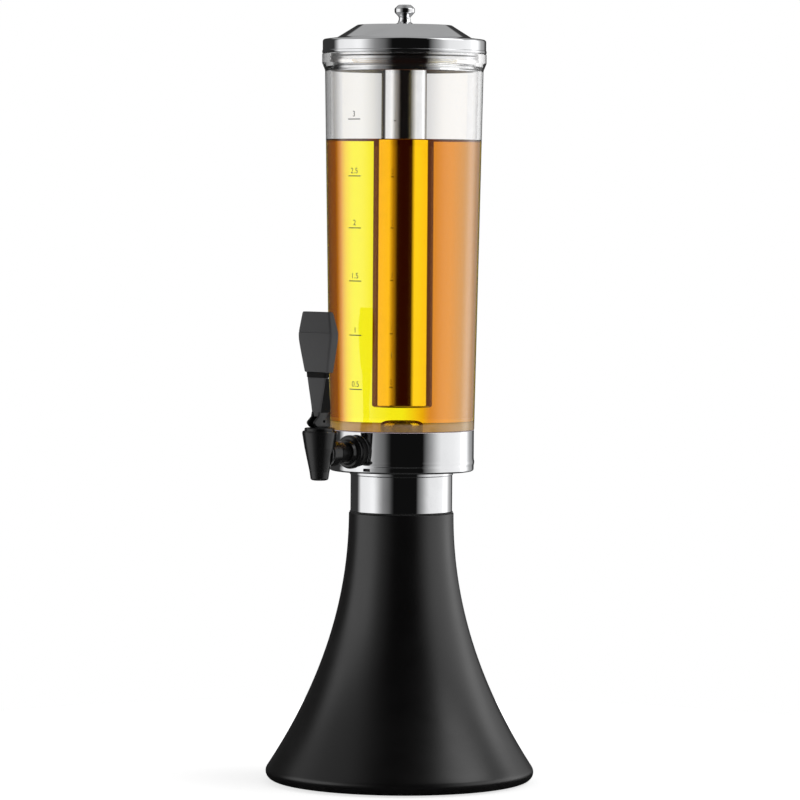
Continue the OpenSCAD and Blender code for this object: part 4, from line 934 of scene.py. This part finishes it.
on_steel = sheets_around([
    (-180, 0.04), (-118, 0.04), (-112, 0.38), (-105, 0.98), (-80, 1.06), (-70, 1.14), (-64, 1.1), (-57, 0.82),
    (-49, 0.48), (-42, 0.29), (-35, 0.21), (-28.5, 0.145), (-22, 0.045), (-17, 0.0055), (34, 0.0055), (39, 0.15),
    (50, 0.44), (60, 0.8), (66, 0.96), (90, 1.04), (106, 1.15), (114, 1.5), (119, 1.55), (126, 1.3), (134, 0.7),
    (140, 0.45), (146, 0.42), (152, 0.3), (159, 0.05), (180, 0.04)])
overhead = sheets_around([
    (-180, 0.03), (-125, 0.03), (-105, 0.3), (-60, 0.34), (-38, 0.1), (-22, 0.008), (45, 0.008), (62, 0.4),
    (75, 0.6), (105, 0.6), (125, 0.03), (180, 0.03)])
# What rays through the drink see: orange, brown and pale tints painted into the background. This is painted light on
# top of the beer's own absorption.
PALE = (1.12, 1.65, 1.5)
painted_light_past_drink = sheets_around([
    (-180, PALE), (-174, (1.08, 1.0, 0.8)), (-169, (0.82, 0.44, 0.12)), (-160, (0.9, 0.5, 0.2)),
    (-147, (0.66, 0.4, 0.25)), (-123, (0.5, 0.26, 0.15)), (-117, 1.1), (117, 1.1), (120, (0.25, 0.08, 0.02)),
    (141, (0.3, 0.09, 0.03)), (148, (0.85, 0.45, 0.2)), (153, (1.1, 1.2, 0.9)), (158, PALE), (180, PALE)])
# What the polished tube mirrors inside the drink: amber, brown and cream bands, a painted reflection.
AMBER, BROWN, CREAM = (0.12, 0.04, 0.0), (0.03, 0.004, 0.0), (1.3, 0.95, 0.5)
painted_tube_reflection = sheets_around([
    (-180, AMBER), (-121, AMBER), (-117, CREAM), (-62, CREAM), (-44, (0.5, 0.3, 0.12)), (-24, BROWN), (35, BROWN),
    (50, (1.35, 1.15, 0.6)), (112, (1.35, 1.1, 0.6)), (118, AMBER), (180, AMBER)])
# Seen through the wall alone, the background is darker to the left and lighter to the right. This is painted light.
in_wall = sheets_around([(-180, 0.52), (-60, 0.52), (60, 1.1), (180, 1.1)])
# Straight behind the clear part above the drink: a soft grey band, painted shade.
painted_shade_past_air = sheets_around([
    (-14.3, 0.95), (-13.8, 0.5), (-12.9, 0.44), (-7.8, 0.7), (-5.6, 0.84), (-3.4, 0.88), (-2.4, 0.87), (-1.9, 0.82),
    (-1.5, 0.75), (-1.2, 0.68), (-1.0, 0.6), (0, 0.6), (1.0, 0.76), (1.5, 0.85), (1.8, 0.89), (2.2, 0.92),
    (3.4, 0.94), (7.8, 0.96), (14.3, 0.95)], span=14.3, along=ranged(sky, parts["X"], -0.25, 0.25))
seen = add(sky, "LightPath")
off_metal = maths(sky, "GREATER_THAN", seen["Glossy Depth"], 0.5)
in_drink = maths(sky, "COMPARE", seen["Transmission Depth"], 6.0, 0.5)
past_wall = maths(sky, "GREATER_THAN", seen["Transmission Depth"], 2.5)
high_up = ranged(sky, parts["Z"], 0.4, 0.48, smooth=True)
behind = ranged(sky, forward, 0.1, -0.3, smooth=True)
over_drink = ranged(sky, parts["Z"], 0.0, 0.006)
steel_room = blend(sky, high_up, on_steel, blend(sky, behind, overhead, 0.42))
past_clear = blend(sky, off_metal, blend(sky, over_drink, 1.3, painted_shade_past_air), steel_room)
past_beer = blend(sky, off_metal, painted_light_past_drink, painted_tube_reflection)
through = blend(sky, past_wall, in_wall, blend(sky, in_drink, past_clear, past_beer))
lit = blend(sky, seen["Is Transmission Ray"], steel_room, through)
light = add(sky, "Background", {"Color": blend(sky, seen["Is Camera Ray"], lit, 1.0), "Strength": 1.0})
add(sky, "OutputWorld", {"Surface": light[0]})

white_table = bpy.data.materials.new("white_table")
white_table.use_nodes = True
tree = white_table.node_tree
tree.nodes.clear()
where = add(tree, "TexCoord")["Object"]
away = add(tree, "VectorMath", {0: where}, operation="LENGTH")["Value"]
glow = ranged(tree, away, 0.1, 0.5, 0.72, 1.05, smooth=True)
# In reflections the white table shows as dark grey: a painted reflection.
paper, table_painted_dark_in_mirrors = (add(tree, "BsdfDiffuse", {"Color": rgba(grey)})[0] for grey in (0.8, 0.06))
white = add(tree, "Emission", {"Color": rgba(1), "Strength": glow})
laid = add(tree, "AddShader", {0: paper, 1: white[0]})
ray = add(tree, "LightPath")
shown = add(tree, "MixShader", {0: ray["Is Glossy Ray"], 1: laid[0], 2: table_painted_dark_in_mirrors})
add(tree, "OutputMaterial", {"Surface": shown[0]})
table_mesh = bpy.data.meshes.new("table")
table_mesh.from_pydata([(x, y, 0.0) for x, y, _ in arc(0, 0, TABLE_R, 0, tau, TABLE_SIDES, 0)[:-1]], [],
    [tuple(range(TABLE_SIDES))])
table_mesh.materials.append(white_table)
linked("table", table_mesh)

soft = bpy.data.lights.new("soft_box", "AREA")
soft.shape, soft.size, soft.size_y, soft.energy = "RECTANGLE", BOX_SIZE, BOX_SIZE, BOX_POWER
soft_box = linked("soft_box", soft)
right, toward = Vector((cos(VIEW_TURN), sin(VIEW_TURN), 0)), Vector((sin(VIEW_TURN), -cos(VIEW_TURN), 0))
soft_box.location = right * 1.3 + toward * 0.3 + Vector((0, 0, 1.7))
soft_box.rotation_euler = (Vector((0, 0, 0.3)) - soft_box.location).to_track_quat("-Z", "Y").to_euler()

lens = bpy.data.cameras.new("camera")
lens.sensor_width, lens.lens, lens.clip_end = SENSOR, FOCAL_PIXELS / FRAME_PIXELS * SENSOR, 100
camera = linked("camera", lens)
camera.location = toward * VIEW_DISTANCE + Vector((0, 0, VIEW_HEIGHT))
aim = (Matrix.Rotation(VIEW_TURN + AXIS_PIXELS / FOCAL_PIXELS, 4, "Z")
       @ Matrix.Rotation(pi / 2 - VIEW_PITCH, 4, "X") @ Matrix.Rotation(VIEW_ROLL, 4, "Z"))
camera.rotation_euler = aim.to_euler()
bpy.context.scene.camera = camera
bpy.context.scene.view_settings.view_transform = "Standard"
